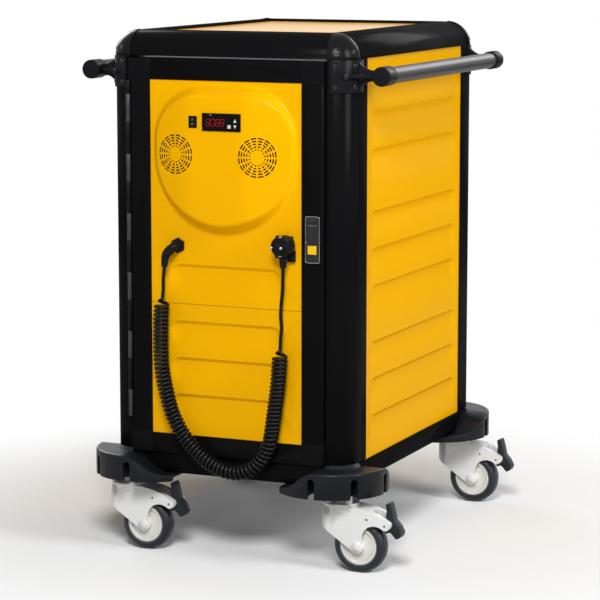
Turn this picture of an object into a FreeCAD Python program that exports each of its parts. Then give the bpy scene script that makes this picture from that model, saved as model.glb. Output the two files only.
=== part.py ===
"""Hostess trolley: a heated banquet cabinet on four braked castors.

Millimetres. The origin is on the floor under the middle of the cabinet, +Z is up, +X is to the
right of someone who faces the door, and the door is on the -Y side. Every shape is built in
place, and each node is written as one STEP file.
"""
import FreeCAD, Part
import math
import os

V = FreeCAD.Vector
X = V(1, 0, 0)
Y = V(0, 1, 0)
Z = V(0, 0, 1)
ORIGIN = V(0, 0, 0)

# ---------------------------------------------------------------- driving dimensions
# Cabinet frame
CABINET_W = 478.0
CABINET_D = 655.0
CABINET_TOP = 967.0
CABINET_BOTTOM = 152.0
POST_R = 45.0            # quarter-round of the posts and of the top rails
POST_FOOT = 195.0        # the posts stand on the corner bumpers here
FRAME_WALL = 3.0         # wall of every extruded frame profile
FLANGE_LENGTH = 37.0     # flat flange of a post, beside a panel
FLANGE_T = 8.0
LIP_W = 12.0             # inner lip of a top rail
LIP_H = 10.0
BOTTOM_RAIL_H = 41.0
BOTTOM_RAIL_W = 37.0
BOTTOM_RAIL_ROUND = 14.0
CAP_PROUD = 1.2          # the corner caps stand this far over the rails
CAP_SCREW_R = 3.6
CAP_SCREW_PROUD = 0.9

# Outer panels
PANEL_T = 1.5
PANEL_RECESS = 2.5
TOP_PANEL_DROP = 5.0
TOP_PANEL_H = 5.0
TOP_PANEL_T = 2.0
PANEL_FIT = 0.3
RIB_H = 47.0
RIB_PITCH = 68.0
RIB_DEPTH = 5.0
RIB_TOP_SLOPE = 6.0
RIB_BOTTOM_SLOPE = 24.0
RIB_END_SLOPE = 12.0
RIB_CORNER_R = 20.0
RIB_CORNER_DEEP_R = 8.0
SIDE_RIB_INSET = 23.5    # from the ends of a side panel to its ribs
DOOR_RIB_INSET = 38.5
RIBS_HIGH_DROP = 28.0    # first rib of the side's high group, below the top rail
RIBS_LOW_RISE = 213.0    # first rib of the side's low group, above the bottom rail
RIBS_MID_DROP = 5.0      # the middle group hangs this much below half-way

# Inner box and trays
LINER_INSET = 2.0        # liner inboard of the posts' round centres
LINER_T = 2.0
LINER_BACK_WALL = 36.5   # thickness of the insulated back
LINER_FLOOR_RISE = 22.0
LINER_CEILING_DROP = 29.0
JAMB_GAP = 4.0           # door back to jamb, which the gasket fills
JAMB_LIP = 22.0          # the mouth is this much narrower than the liner, each side
JAMB_SILL = 17.0
JAMB_HEAD = 13.0
BASE_PLATE_T = 2.0
FIT = 0.5                # insulation to sheet
TRAY_PITCH = 75.0
TRAY_LEVELS = 8
TRAY_FIRST_RISE = 55.0
RACK_T = 2.0
RUNNER_W = 34.0
RUNNER_T = 2.5
RACK_FRONT_GAP = 34.0    # jamb to the front of the racks
RACK_BACK_GAP = 11.0

# Door
DOOR_GAP = 2.5           # door to post, each side
DOOR_LOW_GAP = 1.0
DOOR_TOP_GAP = 4.0
DOOR_PROUD = 7.5         # door face in front of the posts
DOOR_T = 35.0
STILE_W = 42.0
DOOR_RAIL_TOP_H = 38.0
DOOR_RAIL_BOTTOM_H = 36.0
CORNER_BLOCK_H = 40.0
CORNER_BLOCK_PROUD = 0.6
STILE_ROUND = 4.0
DOOR_SKIN_T = 2.5
DOOR_SKIN_RECESS = 1.5
DOOR_SKIN_TUCK = 5.0     # how far a skin goes into the frame's groove
SEAM_RISE = 279.0        # joint of the two skins above the door's lower edge
RIB_OVER_SEAM = 73.0
RIBS_UNDER_SEAM = 31.0
SEAM_GAP = 0.8
INNER_SKIN_T = 2.0
GASKET_W = 12.0
GASKET_GAP = 0.3

# Raised D-shaped housing on the door
BULGE_SIDE_GAP = 8.5     # housing to the stiles
BULGE_TOP_DROP = 46.0
BULGE_HEAD = 127.0       # centre of its lower half circle to its top
BULGE_CORNER_R = 100.0
BULGE_PROUD = 24.0
BULGE_SLOPE = 18.0
BULGE_EDGE_ROUND = 12.0
BULGE_ROOT_ROUND = 10.0
BULGE_WALL = 2.5
BULGE_FOLDS = (-70.0, 50.0)      # its face falls away left and right of these
BULGE_FOLD_ROUND = 120.0
FACE_TILT = 11.0

# Fans and grilles
GRILLE_LEFT = (-90.0, 3.0)       # x, and height over the housing's centre
GRILLE_RIGHT = (72.0, 2.0)
GRILLE_R = 39.0
GRILLE_T = 2.5
SLOT_RINGS = (34.5, 29.5, 24.5, 19.5, 14.5)
SLOT_W = 2.6
SLOTS_PER_RING = 16
SPOKE_W = 3.2
FAN_R = 36.0
FAN_T = 15.0
FAN_HUB_R = 12.0
FAN_BLADES = 7
FAN_GAP = 1.5
FAN_SINK = 4.2           # rotor behind the back of the grille

# Controls on the door
DISPLAY_X = 4.2
DISPLAY_RISE = 63.2      # over the housing's centre
DISPLAY_W = 76.0
DISPLAY_H = 32.0
DISPLAY_PROUD = 2.5
DISPLAY_BODY_W = 70.0
DISPLAY_BODY_H = 28.0
DISPLAY_BODY_DEPTH = 34.0
KEY_SET = (16.0, -7.3)   # from the middle of the display
KEY_UP = (27.7, 3.6)
KEY_DOWN = (27.7, -7.3)
KEY_SIZE = 6.0
KEY_PROUD = 1.0
KEY_TRAVEL = 0.8
KEY_GAP = 0.3
KEY_DEPTH = 4.0
SWITCH_X = -52.4
SWITCH_RISE = 62.5
SWITCH_W = 16.2
SWITCH_H = 21.5
SWITCH_PROUD = 1.5
SWITCH_BODY_DEPTH = 16.0
ROCKER_W = 11.0
ROCKER_H = 17.0
ROCKER_TILT = 7.0
ROCKER_GAP = 0.5
ROCKER_PIVOT_R = 2.5
ROCKER_PIVOT_DEPTH = 3.0
ROCKER_PIVOT_END = 0.3

# Latch in the right stile of the door
LATCH_SET_IN = 19.7      # from the door's edge
LATCH_Z = 603.5
LATCH_W = 28.0
LATCH_H = 84.0
LATCH_PROUD = 2.0
LATCH_DEPTH = 16.0
LATCH_WALL = 2.0
RECESS_H = 38.0
RECESS_W = 18.0
RECESS_DEPTH = 2.5
BUTTON_SIZE = 15.6
BUTTON_Z = 585.2
BUTTON_PROUD = 4.5
BUTTON_TRAVEL = 4.0
BUTTON_GAP = 0.4
BOLT_LENGTH = 26.0
BOLT_H = 12.0
BOLT_T = 8.0
BOLT_Z = 548.0
BOLT_GAP = 0.4
STRIKE_T = 1.5
STRIKE_H = 46.0
STRIKE_W = 18.0

# Hinge
HINGE_AXIS_OUT = 2.3     # axis beside the door's edge
HINGE_OUT = 1.2          # axis in front of the door's face plane
HINGE_PIN_R = 2.0
KNUCKLE_R = 3.7
KNUCKLE_LENGTH = 50.0
KNUCKLE_PITCH = 109.0
KNUCKLE_DROP = 66.0      # door top to the highest door knuckle
KNUCKLE_COUNT = 6
KNUCKLE_GAP = 0.5
LEAF_T = 1.0
LEAF_W = 25.0

# Push bars on the sides
BAR_OUT = 49.0           # bar axis beside the cabinet
BAR_DROP = 29.0          # and below the top rails
BAR_R = 15.0
BAR_WALL = 1.5
BAR_CAP_R = 17.5
BAR_CAP_LENGTH = 36.0
BAR_END_OUT = 21.5       # outer face of the end caps, beyond the posts' round centres
BAR_PLUG = 4.0           # thickness of an end cap
BAR_SLIP = 0.1
BRACKET_H = 57.0
BRACKET_T = 3.0
BRACKET_WRAP = 82.0      # degrees of the post that the plate wraps
ARM_T = 6.0
ARM_RIB_T = 5.0
BOSS_R = 6.5
SCREW_R = 3.4
SCREW_PROUD = 1.4
SCREW_SEAT = 1.0         # depth of the counterbores
SCREW_FIT = 0.15
SCREW_SIDES = 16

# Corner bumpers
BUMPER_R = 103.0
BUMPER_SET_IN = 9.2      # bumper centre inboard of the post centre, both ways
BUMPER_BOTTOM = 141.0
BUMPER_TOP = 189.0
BUMPER_SLOPE_START = -6.0        # inboard of the post's round centre
BUMPER_SLOPE_END = 84.0          # the wings along the front and the back end here
BUMPER_EDGE_ROUND = 5.0
BUMPER_CAVITY = 5.0
BUMPER_RIM = 8.0
BUMPER_SLOT_W = 14.0
BUMPER_SLOT_TOP = 178.0
BUMPER_SLOT_DEPTH = 40.0
BUMPER_CORE_EXTRA = 9.0  # solid foot round the castor mount
COLLAR_FLARE = 5.0

# Castors
CASTOR_OUT_X = 21.0      # swivel axis outboard of the post's round centre
CASTOR_OUT_Y = 20.5
CASTOR_TRAIL = 39.0
CASTOR_TURNS = {"front_left": 0.0, "front_right": 0.0, "rear_left": 180.0, "rear_right": 0.0}
WHEEL_R = 50.0
WHEEL_W = 32.0
RIM_R = 36.0
DISC_R = 29.5
DISC_SINK = 3.0
HUB_R = 11.0
AXLE_R = 4.0
RUNNING_GAP = 0.08
SIDE_GAP = 1.2
FORK_TOP = 122.0
FORK_HALF_W = 23.5
FORK_WALL = 5.5
FORK_CROWN_R = 27.0
FORK_CROWN_T = 12.0
FORK_BOSS_R = 12.0
FORK_BACK = 36.5
WHEEL_ROOM = 3.5
PEDAL_PIN = (92.0, 93.0)
FORK_PIN = (58.0, 102.0)
PIN_R = 2.0
PEDAL_HALF_W = 11.0
PEDAL_GAP = 0.6
PEDAL_ROUND = 2.2
MOUNT_PLATE_R = 33.0
MOUNT_PLATE_T = 4.0
MOUNT_GAP = 0.4
MOUNT_BOSS_R = 16.0
SLEEVE_R = 6.5
SLEEVE_PCD = 52.0
SLEEVE_START = -52.0

# Mains lead
CORD_D = 6.6
COIL_OD = 29.5
COIL_GAP = 0.75
CORD_OUT = 20.5          # middle of the cord in front of the skin
GLAND_X = -95.0
GLAND_Z = 580.0
GLAND_HEX_AF = 25.0
GLAND_HEX_T = 5.0
GLAND_NECK_R = 8.5
BOOT_R = 8.0
BOOT_TIP_R = 5.6
BOOT_RIBS = 7
PLUG_Z = 592.0
PLUG_R = 18.5
PLUG_HOLDER_T = 7.5
PLUG_LENGTH = 27.0
PLUG_NECK_R = 8.0
PLUG_NECK_TIP_R = 5.4
PLUG_PIN_R = 2.4
PLUG_PIN_SPACING = 19.0
PLUG_PIN_LENGTH = 19.0
PLUG_CLIP_W = 5.0
PLUG_CLIP_DEPTH = 2.0

# Heating element in the door
HEATER_R = 4.0
HEATER_SIDE_GAP = 17.5   # between the element's bends and the door's stiles
HEATER_PITCH = 36.0
HEATER_RUNS = 4
HEATER_RISE = 136.0      # lowest run above the door's lower edge
HEATER_DEPTH = 10.0      # in front of the inner skin
HEATER_CLIP_X = 60.0
HEATER_CLIP_W = 12.0

# ---------------------------------------------------------------- places worked out from them
HALF_W = CABINET_W / 2
HALF_D = CABINET_D / 2
POST_X = HALF_W - POST_R             # centre of a post's round
POST_Y = HALF_D - POST_R
RAIL_Z = CABINET_TOP - POST_R        # underside of the top rails, top of the posts
BOTTOM_RAIL_TOP = CABINET_BOTTOM + BOTTOM_RAIL_H
DOOR_FACE = -(HALF_D + DOOR_PROUD)
DOOR_BACK = DOOR_FACE + DOOR_T
DOOR_HALF_W = POST_X - DOOR_GAP
DOOR_BOTTOM = BOTTOM_RAIL_TOP + DOOR_LOW_GAP
DOOR_TOP = RAIL_Z - DOOR_TOP_GAP
STILE_IN_X = DOOR_HALF_W - STILE_W
JAMB = DOOR_BACK + JAMB_GAP
SKIN_FACE = DOOR_FACE + DOOR_SKIN_RECESS
SKIN_BACK = SKIN_FACE + DOOR_SKIN_T
SEAM_Z = DOOR_BOTTOM + SEAM_RISE
LINER_HALF_W = POST_X - LINER_INSET
LINER_BACK = HALF_D - LINER_BACK_WALL
LINER_FLOOR = BOTTOM_RAIL_TOP + LINER_FLOOR_RISE
LINER_CEILING = RAIL_Z - LINER_CEILING_DROP
MOUTH_HALF_W = LINER_HALF_W - JAMB_LIP
MOUTH_BOTTOM = LINER_FLOOR + JAMB_SILL
MOUTH_TOP = LINER_CEILING - JAMB_HEAD
TRAY_FIRST = LINER_FLOOR + TRAY_FIRST_RISE
RACK_FRONT = JAMB + RACK_FRONT_GAP
RACK_BACK = LINER_BACK - RACK_BACK_GAP
SIDE_PANEL_W = 2 * (POST_Y - FLANGE_LENGTH)
RIBS_HIGH = RAIL_Z - RIBS_HIGH_DROP
RIBS_LOW = BOTTOM_RAIL_TOP + RIBS_LOW_RISE
RIBS_MID = (RIBS_HIGH + RIBS_LOW) / 2 - RIBS_MID_DROP
HEATER_HALF_W = STILE_IN_X - HEATER_SIDE_GAP - HEATER_PITCH / 2 - HEATER_R
BULGE_HALF_W = STILE_IN_X - BULGE_SIDE_GAP
BULGE_TOP = DOOR_TOP - BULGE_TOP_DROP
BULGE_CENTRE_Z = BULGE_TOP - BULGE_HEAD
BULGE_FACE = SKIN_FACE - BULGE_PROUD
DISPLAY_Z = BULGE_CENTRE_Z + DISPLAY_RISE
SWITCH_Z = BULGE_CENTRE_Z + SWITCH_RISE
LATCH_X = DOOR_HALF_W - LATCH_SET_IN
BOLT_Y = DOOR_FACE + LATCH_DEPTH + LATCH_WALL + BOLT_T / 2 + 1.0
HINGE_X = -(DOOR_HALF_W + HINGE_AXIS_OUT)
HINGE_Y = DOOR_FACE - HINGE_OUT
KNUCKLE_FIRST = DOOR_TOP - KNUCKLE_DROP
BAR_X = HALF_W + BAR_OUT
BAR_Z = RAIL_Z - BAR_DROP
BAR_END_Y = POST_Y + BAR_END_OUT
CASTOR_X = POST_X + CASTOR_OUT_X
CASTOR_Y = POST_Y + CASTOR_OUT_Y
FORK_INNER = FORK_HALF_W - FORK_WALL
CORD_Y = SKIN_FACE - CORD_OUT
COIL_R = (COIL_OD - CORD_D) / 2
PLUG_BACK = SKIN_FACE - PLUG_HOLDER_T
PLUG_FACE = PLUG_BACK - PLUG_LENGTH
CORNERS = {"front_left": (-1, -1), "front_right": (1, -1), "rear_left": (-1, 1), "rear_right": (1, 1)}

# The lead's route, front view (x, z), at y = CORD_Y. It is as the photograph shows it.
LEAD_POINTS = ((-113.5, 543.0), (-114.5, 530.0), (-116.5, 517.0), (-115.5, 504.0), (-117.0, 492.0))
COIL_POINTS = (
    (-117.0, 492.0), (-120.5, 466.0), (-121.5, 430.0), (-122.0, 392.0), (-120.5, 354.0),
    (-112.0, 312.0), (-99.5, 270.0), (-76.0, 229.0), (-42.0, 195.0), (-2.0, 174.0),
    (38.0, 171.5), (74.0, 191.0), (96.0, 226.0), (102.0, 268.0), (108.5, 310.0),
    (113.5, 350.0), (115.5, 384.0), (117.0, 412.0),
)
TAIL_POINTS = ((117.0, 412.0), (117.5, 428.0), (120.0, 445.0), (117.5, 464.0), (118.5, 486.0),
               (121.5, 509.0), (122.0, 532.0), (122.5, 553.0))
PLUG_X = TAIL_POINTS[-1][0]     # the plug is parked over the lead's end

nodes = {}


# ---------------------------------------------------------------- helpers
def box(x0, x1, y0, y1, z0, z1):
    return Part.makeBox(x1 - x0, y1 - y0, z1 - z0, V(x0, y0, z0))


def rod(radius, start, end):
    return Part.makeCylinder(radius, (end - start).Length, start, end - start)


def cone(r0, r1, start, end):
    return Part.makeCone(r0, r1, (end - start).Length, start, end - start)


def arc(p, q, r):
    return Part.Arc(p, q, r).toShape()


def line(p, q):
    return Part.LineSegment(p, q).toShape()


def prism(points, direction):
    corners = [V(*p) for p in points]
    return Part.Face(Part.makePolygon(corners + corners[:1])).extrude(direction)


def prism_of_edges(edges, direction):
    return Part.Face(Part.Wire(edges)).extrude(direction)


def fuse(first, *others):
    return first.multiFuse(list(others)).removeSplitter()


def to_corner(shape, corner):
    """A shape made for the rear right corner (+X, +Y), mirrored to another one."""
    sx, sy = CORNERS[corner]
    if sx < 0:
        shape = shape.mirror(ORIGIN, X)
    if sy < 0:
        shape = shape.mirror(ORIGIN, Y)
    return shape


def turned(shape, degrees, centre, axis):
    copy = shape.copy()
    copy.rotate(centre, axis, degrees)
    return copy


def add(name, *solids):
    nodes[name] = list(solids)


def unit(v):
    return V(v).normalize()


def screw_head(radius, seat, out, height):
    """Low round head with a chamfered rim. It stands on its seat and faces the way of out."""
    side = unit(out.cross(Z))
    up = side.cross(out)
    rings = []
    for share, rise in ((1.0, 0.0), (1.0, 0.55), (0.72, 1.0)):
        centre = seat + out * height * rise
        angles = [2 * math.pi * k / SCREW_SIDES for k in range(SCREW_SIDES)]
        ring = [centre + (side * math.cos(a) + up * math.sin(a)) * radius * share for a in angles]
        rings.append(Part.makePolygon(ring + ring[:1]))
    return Part.makeLoft(rings, True, True)


# ---------------------------------------------------------------- frame of the cabinet
def quarter_tube(length):
    """Hollow quarter-round profile about the Z axis, round towards +X and +Y."""
    outer = Part.makeCylinder(POST_R, length, ORIGIN, Z, 90)
    inner = Part.makeCylinder(POST_R - FRAME_WALL, length, ORIGIN, Z, 90)
    keep = box(FRAME_WALL, POST_R, FRAME_WALL, POST_R, 0, length)
    return outer.cut(inner.common(keep))


def post(front):
    length = RAIL_Z - POST_FOOT
    tube = quarter_tube(length)
    side = box(POST_R - FLANGE_T, POST_R, -FLANGE_LENGTH, FRAME_WALL, 0, length)
    side = side.cut(box(POST_R - FLANGE_T + FRAME_WALL, POST_R - FRAME_WALL, -FLANGE_LENGTH, 0, 0, length))
    parts = [side]
    if not front:
        back = box(-FLANGE_LENGTH, FRAME_WALL, POST_R - FLANGE_T, POST_R, 0, length)
        hollow = box(-FLANGE_LENGTH, 0, POST_R - FLANGE_T + FRAME_WALL, POST_R - FRAME_WALL, 0, length)
        parts.append(back.cut(hollow))
    shape = fuse(tube, *parts)
    shape.translate(V(POST_X, POST_Y, POST_FOOT))
    return shape


def posts():
    made = []
    for corner, (sx, sy) in CORNERS.items():
        shape = to_corner(post(sy < 0), corner)
        if corner == "front_right":
            shape = shape.cut([bolt_way(), strike_blank()])
        made.append(shape)
    add("corner_posts", *made)


def top_rail(length, lip_length):
    """Top rail along +Y, centred on the middle of the cabinet, on its right side."""
    tube = quarter_tube(length)
    tube.rotate(ORIGIN, X, 90)
    tube.translate(V(0, length / 2, 0))
    lip = box(-LIP_W, FRAME_WALL, -lip_length / 2, lip_length / 2, POST_R - LIP_H, POST_R)
    return tube.fuse(lip).removeSplitter()


def frame_rails():
    side = top_rail(2 * POST_Y, 2 * POST_Y)
    side.translate(V(POST_X, 0, RAIL_Z))
    front = top_rail(2 * POST_X, 2 * (POST_X - LIP_W))
    front.rotate(ORIGIN, Z, -90)
    front.translate(V(0, -POST_Y, RAIL_Z))
    low_side = bottom_rail(2 * POST_Y)
    low_side.translate(V(HALF_W, 0, CABINET_BOTTOM))
    low_front = bottom_rail(2 * POST_X)
    low_front.rotate(ORIGIN, Z, -90)
    low_front.translate(V(0, -HALF_D, CABINET_BOTTOM))
    made = []
    for shape, normal in ((side, X), (front, Y), (low_side, X), (low_front, Y)):
        made.append(shape)
        made.append(shape.mirror(ORIGIN, normal))
    add("frame_rails", *made)


def bottom_rail(length):
    """Bottom rail along Y with its outer face on the plane x = 0 and its underside on z = 0."""
    outer = box(-BOTTOM_RAIL_W, 0, -length / 2, length / 2, 0, BOTTOM_RAIL_H)
    low_edge = [e for e in outer.Edges if e.BoundBox.XMin > -1e-6 and e.BoundBox.ZMax < 1e-6]
    outer = outer.makeFillet(BOTTOM_RAIL_ROUND, low_edge)
    inner = box(-BOTTOM_RAIL_W + FRAME_WALL, -FRAME_WALL, -length / 2, length / 2,
                FRAME_WALL, BOTTOM_RAIL_H - FRAME_WALL)
    inner_edge = [e for e in inner.Edges
                  if e.BoundBox.XMin > -FRAME_WALL - 1e-6 and e.BoundBox.ZMax < FRAME_WALL + 1e-6]
    inner = inner.makeFillet(BOTTOM_RAIL_ROUND - FRAME_WALL, inner_edge)
    return outer.cut(inner)


def corner_caps():
    radius = POST_R + CAP_PROUD
    centre = V(POST_X, POST_Y, RAIL_Z)
    ball = Part.makeSphere(radius, centre)
    octant = box(POST_X, HALF_W + 9, POST_Y, HALF_D + 9, RAIL_Z, CABINET_TOP + 9)
    cap = ball.common(octant)
    heads = []
    rise = math.radians(16)
    for azimuth in (math.radians(24), math.radians(66)):
        out = V(math.cos(azimuth) * math.cos(rise), math.sin(azimuth) * math.cos(rise), math.sin(rise))
        seat = centre + out * (radius - CAP_SCREW_PROUD)
        cap = cap.cut(rod(CAP_SCREW_R + SCREW_FIT, seat, seat + out * 5))
        heads.append(screw_head(CAP_SCREW_R, seat, out, 2 * CAP_SCREW_PROUD))
    add("corner_caps", *[to_corner(cap, corner) for corner in CORNERS])
    return [to_corner(head, corner) for corner in CORNERS for head in heads]


# ---------------------------------------------------------------- panels
def rounded_outline(half, low, high, radius, y):
    """Upright rectangle with rounded corners."""
    edges = []
    corners = ((1, high), (-1, high), (-1, low), (1, low))
    centres = [V(sx * (half - radius), y, z + (radius if z == low else -radius)) for sx, z in corners]
    for k, centre in enumerate(centres):
        first, mid, last = [centre + V(math.cos(a), 0, math.sin(a)) * radius
                            for a in (math.pi / 2 * k, math.pi / 2 * (k + 0.5), math.pi / 2 * (k + 1))]
        following = centres[(k + 1) % 4]
        turn = math.pi / 2 * (k + 1)
        edges.append(arc(first, mid, last))
        edges.append(line(last, following + V(math.cos(turn), 0, math.sin(turn)) * radius))
    return Part.Wire(edges)


def rib_tool(length, top):
    """A pressed recess with round ends for a panel that faces -Y at y = 0: steep above, fading out below."""
    low = top - RIB_H
    outline = rounded_outline(length / 2, low, top, RIB_CORNER_R, 0)
    inner = rounded_outline(length / 2 - RIB_END_SLOPE, low + RIB_BOTTOM_SLOPE, top - RIB_TOP_SLOPE,
                            RIB_CORNER_DEEP_R, RIB_DEPTH)
    return Part.makeLoft([outline, inner], True, True)


def ribbed_sheet(width, z0, z1, thickness, rib_length, rib_tops):
    """Sheet that faces -Y with its face on y = 0, with pressed recesses."""
    sheet = box(-width / 2, width / 2, 0, thickness, z0, z1)
    tools = [rib_tool(rib_length, top) for top in rib_tops]
    backs = []
    for tool in tools:
        back = tool.copy()
        back.translate(V(0, thickness, 0))
        backs.append(back)
    body = fuse(sheet, *backs)
    for tool in tools:
        body = body.cut(tool)
    return body


def side_panels():
    tops = [first - RIB_PITCH * k for first in (RIBS_HIGH, RIBS_MID, RIBS_LOW) for k in range(3)]
    rib_length = SIDE_PANEL_W - 2 * SIDE_RIB_INSET
    sheet = ribbed_sheet(SIDE_PANEL_W, BOTTOM_RAIL_TOP, RAIL_Z, PANEL_T, rib_length, tops)
    left = sheet.copy()
    left.rotate(ORIGIN, Z, -90)
    left.translate(V(-HALF_W + PANEL_RECESS, 0, 0))
    add("left_side_panel", left)
    add("right_side_panel", left.mirror(ORIGIN, X))
    half = POST_X - FLANGE_LENGTH
    back = box(-half, half, HALF_D - PANEL_RECESS - PANEL_T, HALF_D - PANEL_RECESS, BOTTOM_RAIL_TOP, RAIL_Z)
    add("back_panel", back)


def top_panel():
    half_x = POST_X - LIP_W - PANEL_FIT
    half_y = POST_Y - LIP_W - PANEL_FIT
    top = CABINET_TOP - TOP_PANEL_DROP
    outer = box(-half_x, half_x, -half_y, half_y, top - TOP_PANEL_H, top)
    inner = box(-half_x + TOP_PANEL_T, half_x - TOP_PANEL_T, -half_y + TOP_PANEL_T, half_y - TOP_PANEL_T,
                top - TOP_PANEL_H, top - TOP_PANEL_T)
    upper = [e for e in outer.Edges if e.BoundBox.ZMin > top - 1e-6]
    outer = outer.makeFillet(TOP_PANEL_T * 0.75, upper)
    add("top_panel", outer.cut(inner))


def inner_box():
    half = LINER_HALF_W
    outer = box(-half, half, JAMB, LINER_BACK + LINER_T, LINER_FLOOR - LINER_T, LINER_CEILING + LINER_T)
    inner = box(-half + LINER_T, half - LINER_T, JAMB + LINER_T, LINER_BACK, LINER_FLOOR, LINER_CEILING)
    jamb = box(-POST_X + PANEL_FIT, POST_X - PANEL_FIT, JAMB, JAMB + LINER_T, BOTTOM_RAIL_TOP, RAIL_Z)
    mouth = box(-MOUTH_HALF_W, MOUTH_HALF_W, JAMB - 1, JAMB + LINER_T + 1, MOUTH_BOTTOM, MOUTH_TOP)
    add("inner_liner", outer.fuse(jamb).cut(inner).cut(mouth).removeSplitter())
    side = HALF_W - FLANGE_T - FIT
    base = box(-side, side, -POST_Y + FIT, POST_Y - FIT, BOTTOM_RAIL_TOP, BOTTOM_RAIL_TOP + BASE_PLATE_T)
    add("base_plate", base)
    rib_back = HALF_W - PANEL_RECESS - PANEL_T - RIB_DEPTH - FIT
    floor = BOTTOM_RAIL_TOP + BASE_PLATE_T
    ceiling = CABINET_TOP - TOP_PANEL_DROP - TOP_PANEL_H
    wide = box(-rib_back, rib_back, -POST_Y + FIT, POST_Y - FIT, floor, RAIL_Z)
    deep = box(-POST_X + FIT, POST_X - FIT, JAMB + LINER_T + FIT, HALF_D - FLANGE_T - FIT, floor, RAIL_Z)
    top = box(-POST_X + FIT, POST_X - FIT, -POST_Y + FIT, POST_Y - FIT, RAIL_Z - 1, ceiling)
    top = top.cut(box(-POST_X, POST_X, -POST_Y, POST_Y, ceiling - LIP_H + TOP_PANEL_H, ceiling).cut(
        box(-POST_X + LIP_W + FIT, POST_X - LIP_W - FIT, -POST_Y + LIP_W + FIT, POST_Y - LIP_W - FIT,
            ceiling - LIP_H, ceiling)))
    wool = fuse(wide, deep, top)
    room = box(-half - FIT, half + FIT, JAMB, LINER_BACK + LINER_T + FIT,
               LINER_FLOOR - LINER_T - FIT, LINER_CEILING + LINER_T + FIT)
    add("insulation", wool.cut(room))


def tray_racks():
    """Left and right racks: an upright sheet and one runner for each tray level."""
    wall = LINER_HALF_W - LINER_T
    top = TRAY_FIRST + TRAY_PITCH * (TRAY_LEVELS - 1)
    upright = box(wall - RACK_T, wall, RACK_FRONT, RACK_BACK, LINER_FLOOR, top + 30)
    runners = []
    for level in range(TRAY_LEVELS):
        z = TRAY_FIRST + TRAY_PITCH * level
        runners.append(box(wall - RACK_T - RUNNER_W, wall - RACK_T, RACK_FRONT, RACK_BACK, z, z + RUNNER_T))
    right = fuse(upright, *runners)
    add("tray_racks", right, right.mirror(ORIGIN, X))


# ---------------------------------------------------------------- door
def rounded_front(shape, radius, x_edges):
    edges = [e for e in shape.Edges
             if e.BoundBox.YMax < DOOR_FACE + 1e-6 and abs(e.BoundBox.XMin - x_edges) < 1e-6
             and abs(e.BoundBox.XMax - x_edges) < 1e-6]
    return shape.makeFillet(radius, edges)


def door_frame():
    z0 = DOOR_BOTTOM + CORNER_BLOCK_H
    z1 = DOOR_TOP - CORNER_BLOCK_H
    in_x = STILE_IN_X
    stile = box(in_x, DOOR_HALF_W, DOOR_FACE, DOOR_BACK, z0, z1)
    stile = rounded_front(stile, STILE_ROUND, DOOR_HALF_W)
    hollow = box(in_x + DOOR_SKIN_TUCK + FRAME_WALL, DOOR_HALF_W - FRAME_WALL, DOOR_FACE + FRAME_WALL,
                 DOOR_BACK - FRAME_WALL, z0, z1)
    groove = box(in_x, in_x + DOOR_SKIN_TUCK + 0.2, SKIN_FACE - 0.1, SKIN_BACK + 0.1, z0, z1)
    rebate = box(in_x, in_x + DOOR_SKIN_TUCK + 0.2, DOOR_BACK - INNER_SKIN_T, DOOR_BACK, z0, z1)
    right = stile.cut(hollow).cut(groove).cut(rebate)
    left = right.mirror(ORIGIN, X)
    pocket = box(LATCH_X - LATCH_W / 2 + LATCH_WALL - 0.3, LATCH_X + LATCH_W / 2 - LATCH_WALL + 0.3,
                 DOOR_FACE, DOOR_FACE + LATCH_DEPTH + 0.3, LATCH_Z - LATCH_H / 2 + LATCH_WALL - 0.3,
                 LATCH_Z + LATCH_H / 2 - LATCH_WALL + 0.3)
    bolt_slot = bolt_room(DOOR_HALF_W - FRAME_WALL - 1, DOOR_HALF_W + 1, BOLT_GAP)
    right = right.cut(pocket).cut(bolt_slot)
    bottom = door_rail(DOOR_BOTTOM, DOOR_BOTTOM + DOOR_RAIL_BOTTOM_H, 1)
    top = door_rail(DOOR_TOP - DOOR_RAIL_TOP_H, DOOR_TOP, -1)
    add("door_frame", left, right, bottom, top)
    blocks = []
    tucked = in_x + DOOR_SKIN_TUCK + 0.2
    low_edge = DOOR_BOTTOM + DOOR_RAIL_BOTTOM_H - DOOR_SKIN_TUCK - 0.2
    high_edge = DOOR_TOP - DOOR_RAIL_TOP_H + DOOR_SKIN_TUCK + 0.2
    skins_room = box(-tucked, tucked, SKIN_FACE - 0.1, SKIN_BACK + 0.1, low_edge, high_edge)
    back_room = box(-tucked, tucked, DOOR_BACK - INNER_SKIN_T, DOOR_BACK + 1, low_edge, high_edge)
    for sx in (-1, 1):
        for low, high in ((DOOR_BOTTOM, z0), (z1, DOOR_TOP)):
            x0, x1 = (in_x, DOOR_HALF_W) if sx > 0 else (-DOOR_HALF_W, -in_x)
            block = box(x0, x1, DOOR_FACE - CORNER_BLOCK_PROUD, DOOR_BACK, low, high)
            front = [e for e in block.Edges if e.BoundBox.YMax < DOOR_FACE]
            block = block.makeFillet(CORNER_BLOCK_PROUD, front)
            blocks.append(block.cut([skins_room, back_room]))
    add("door_corner_blocks", *blocks)


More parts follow.
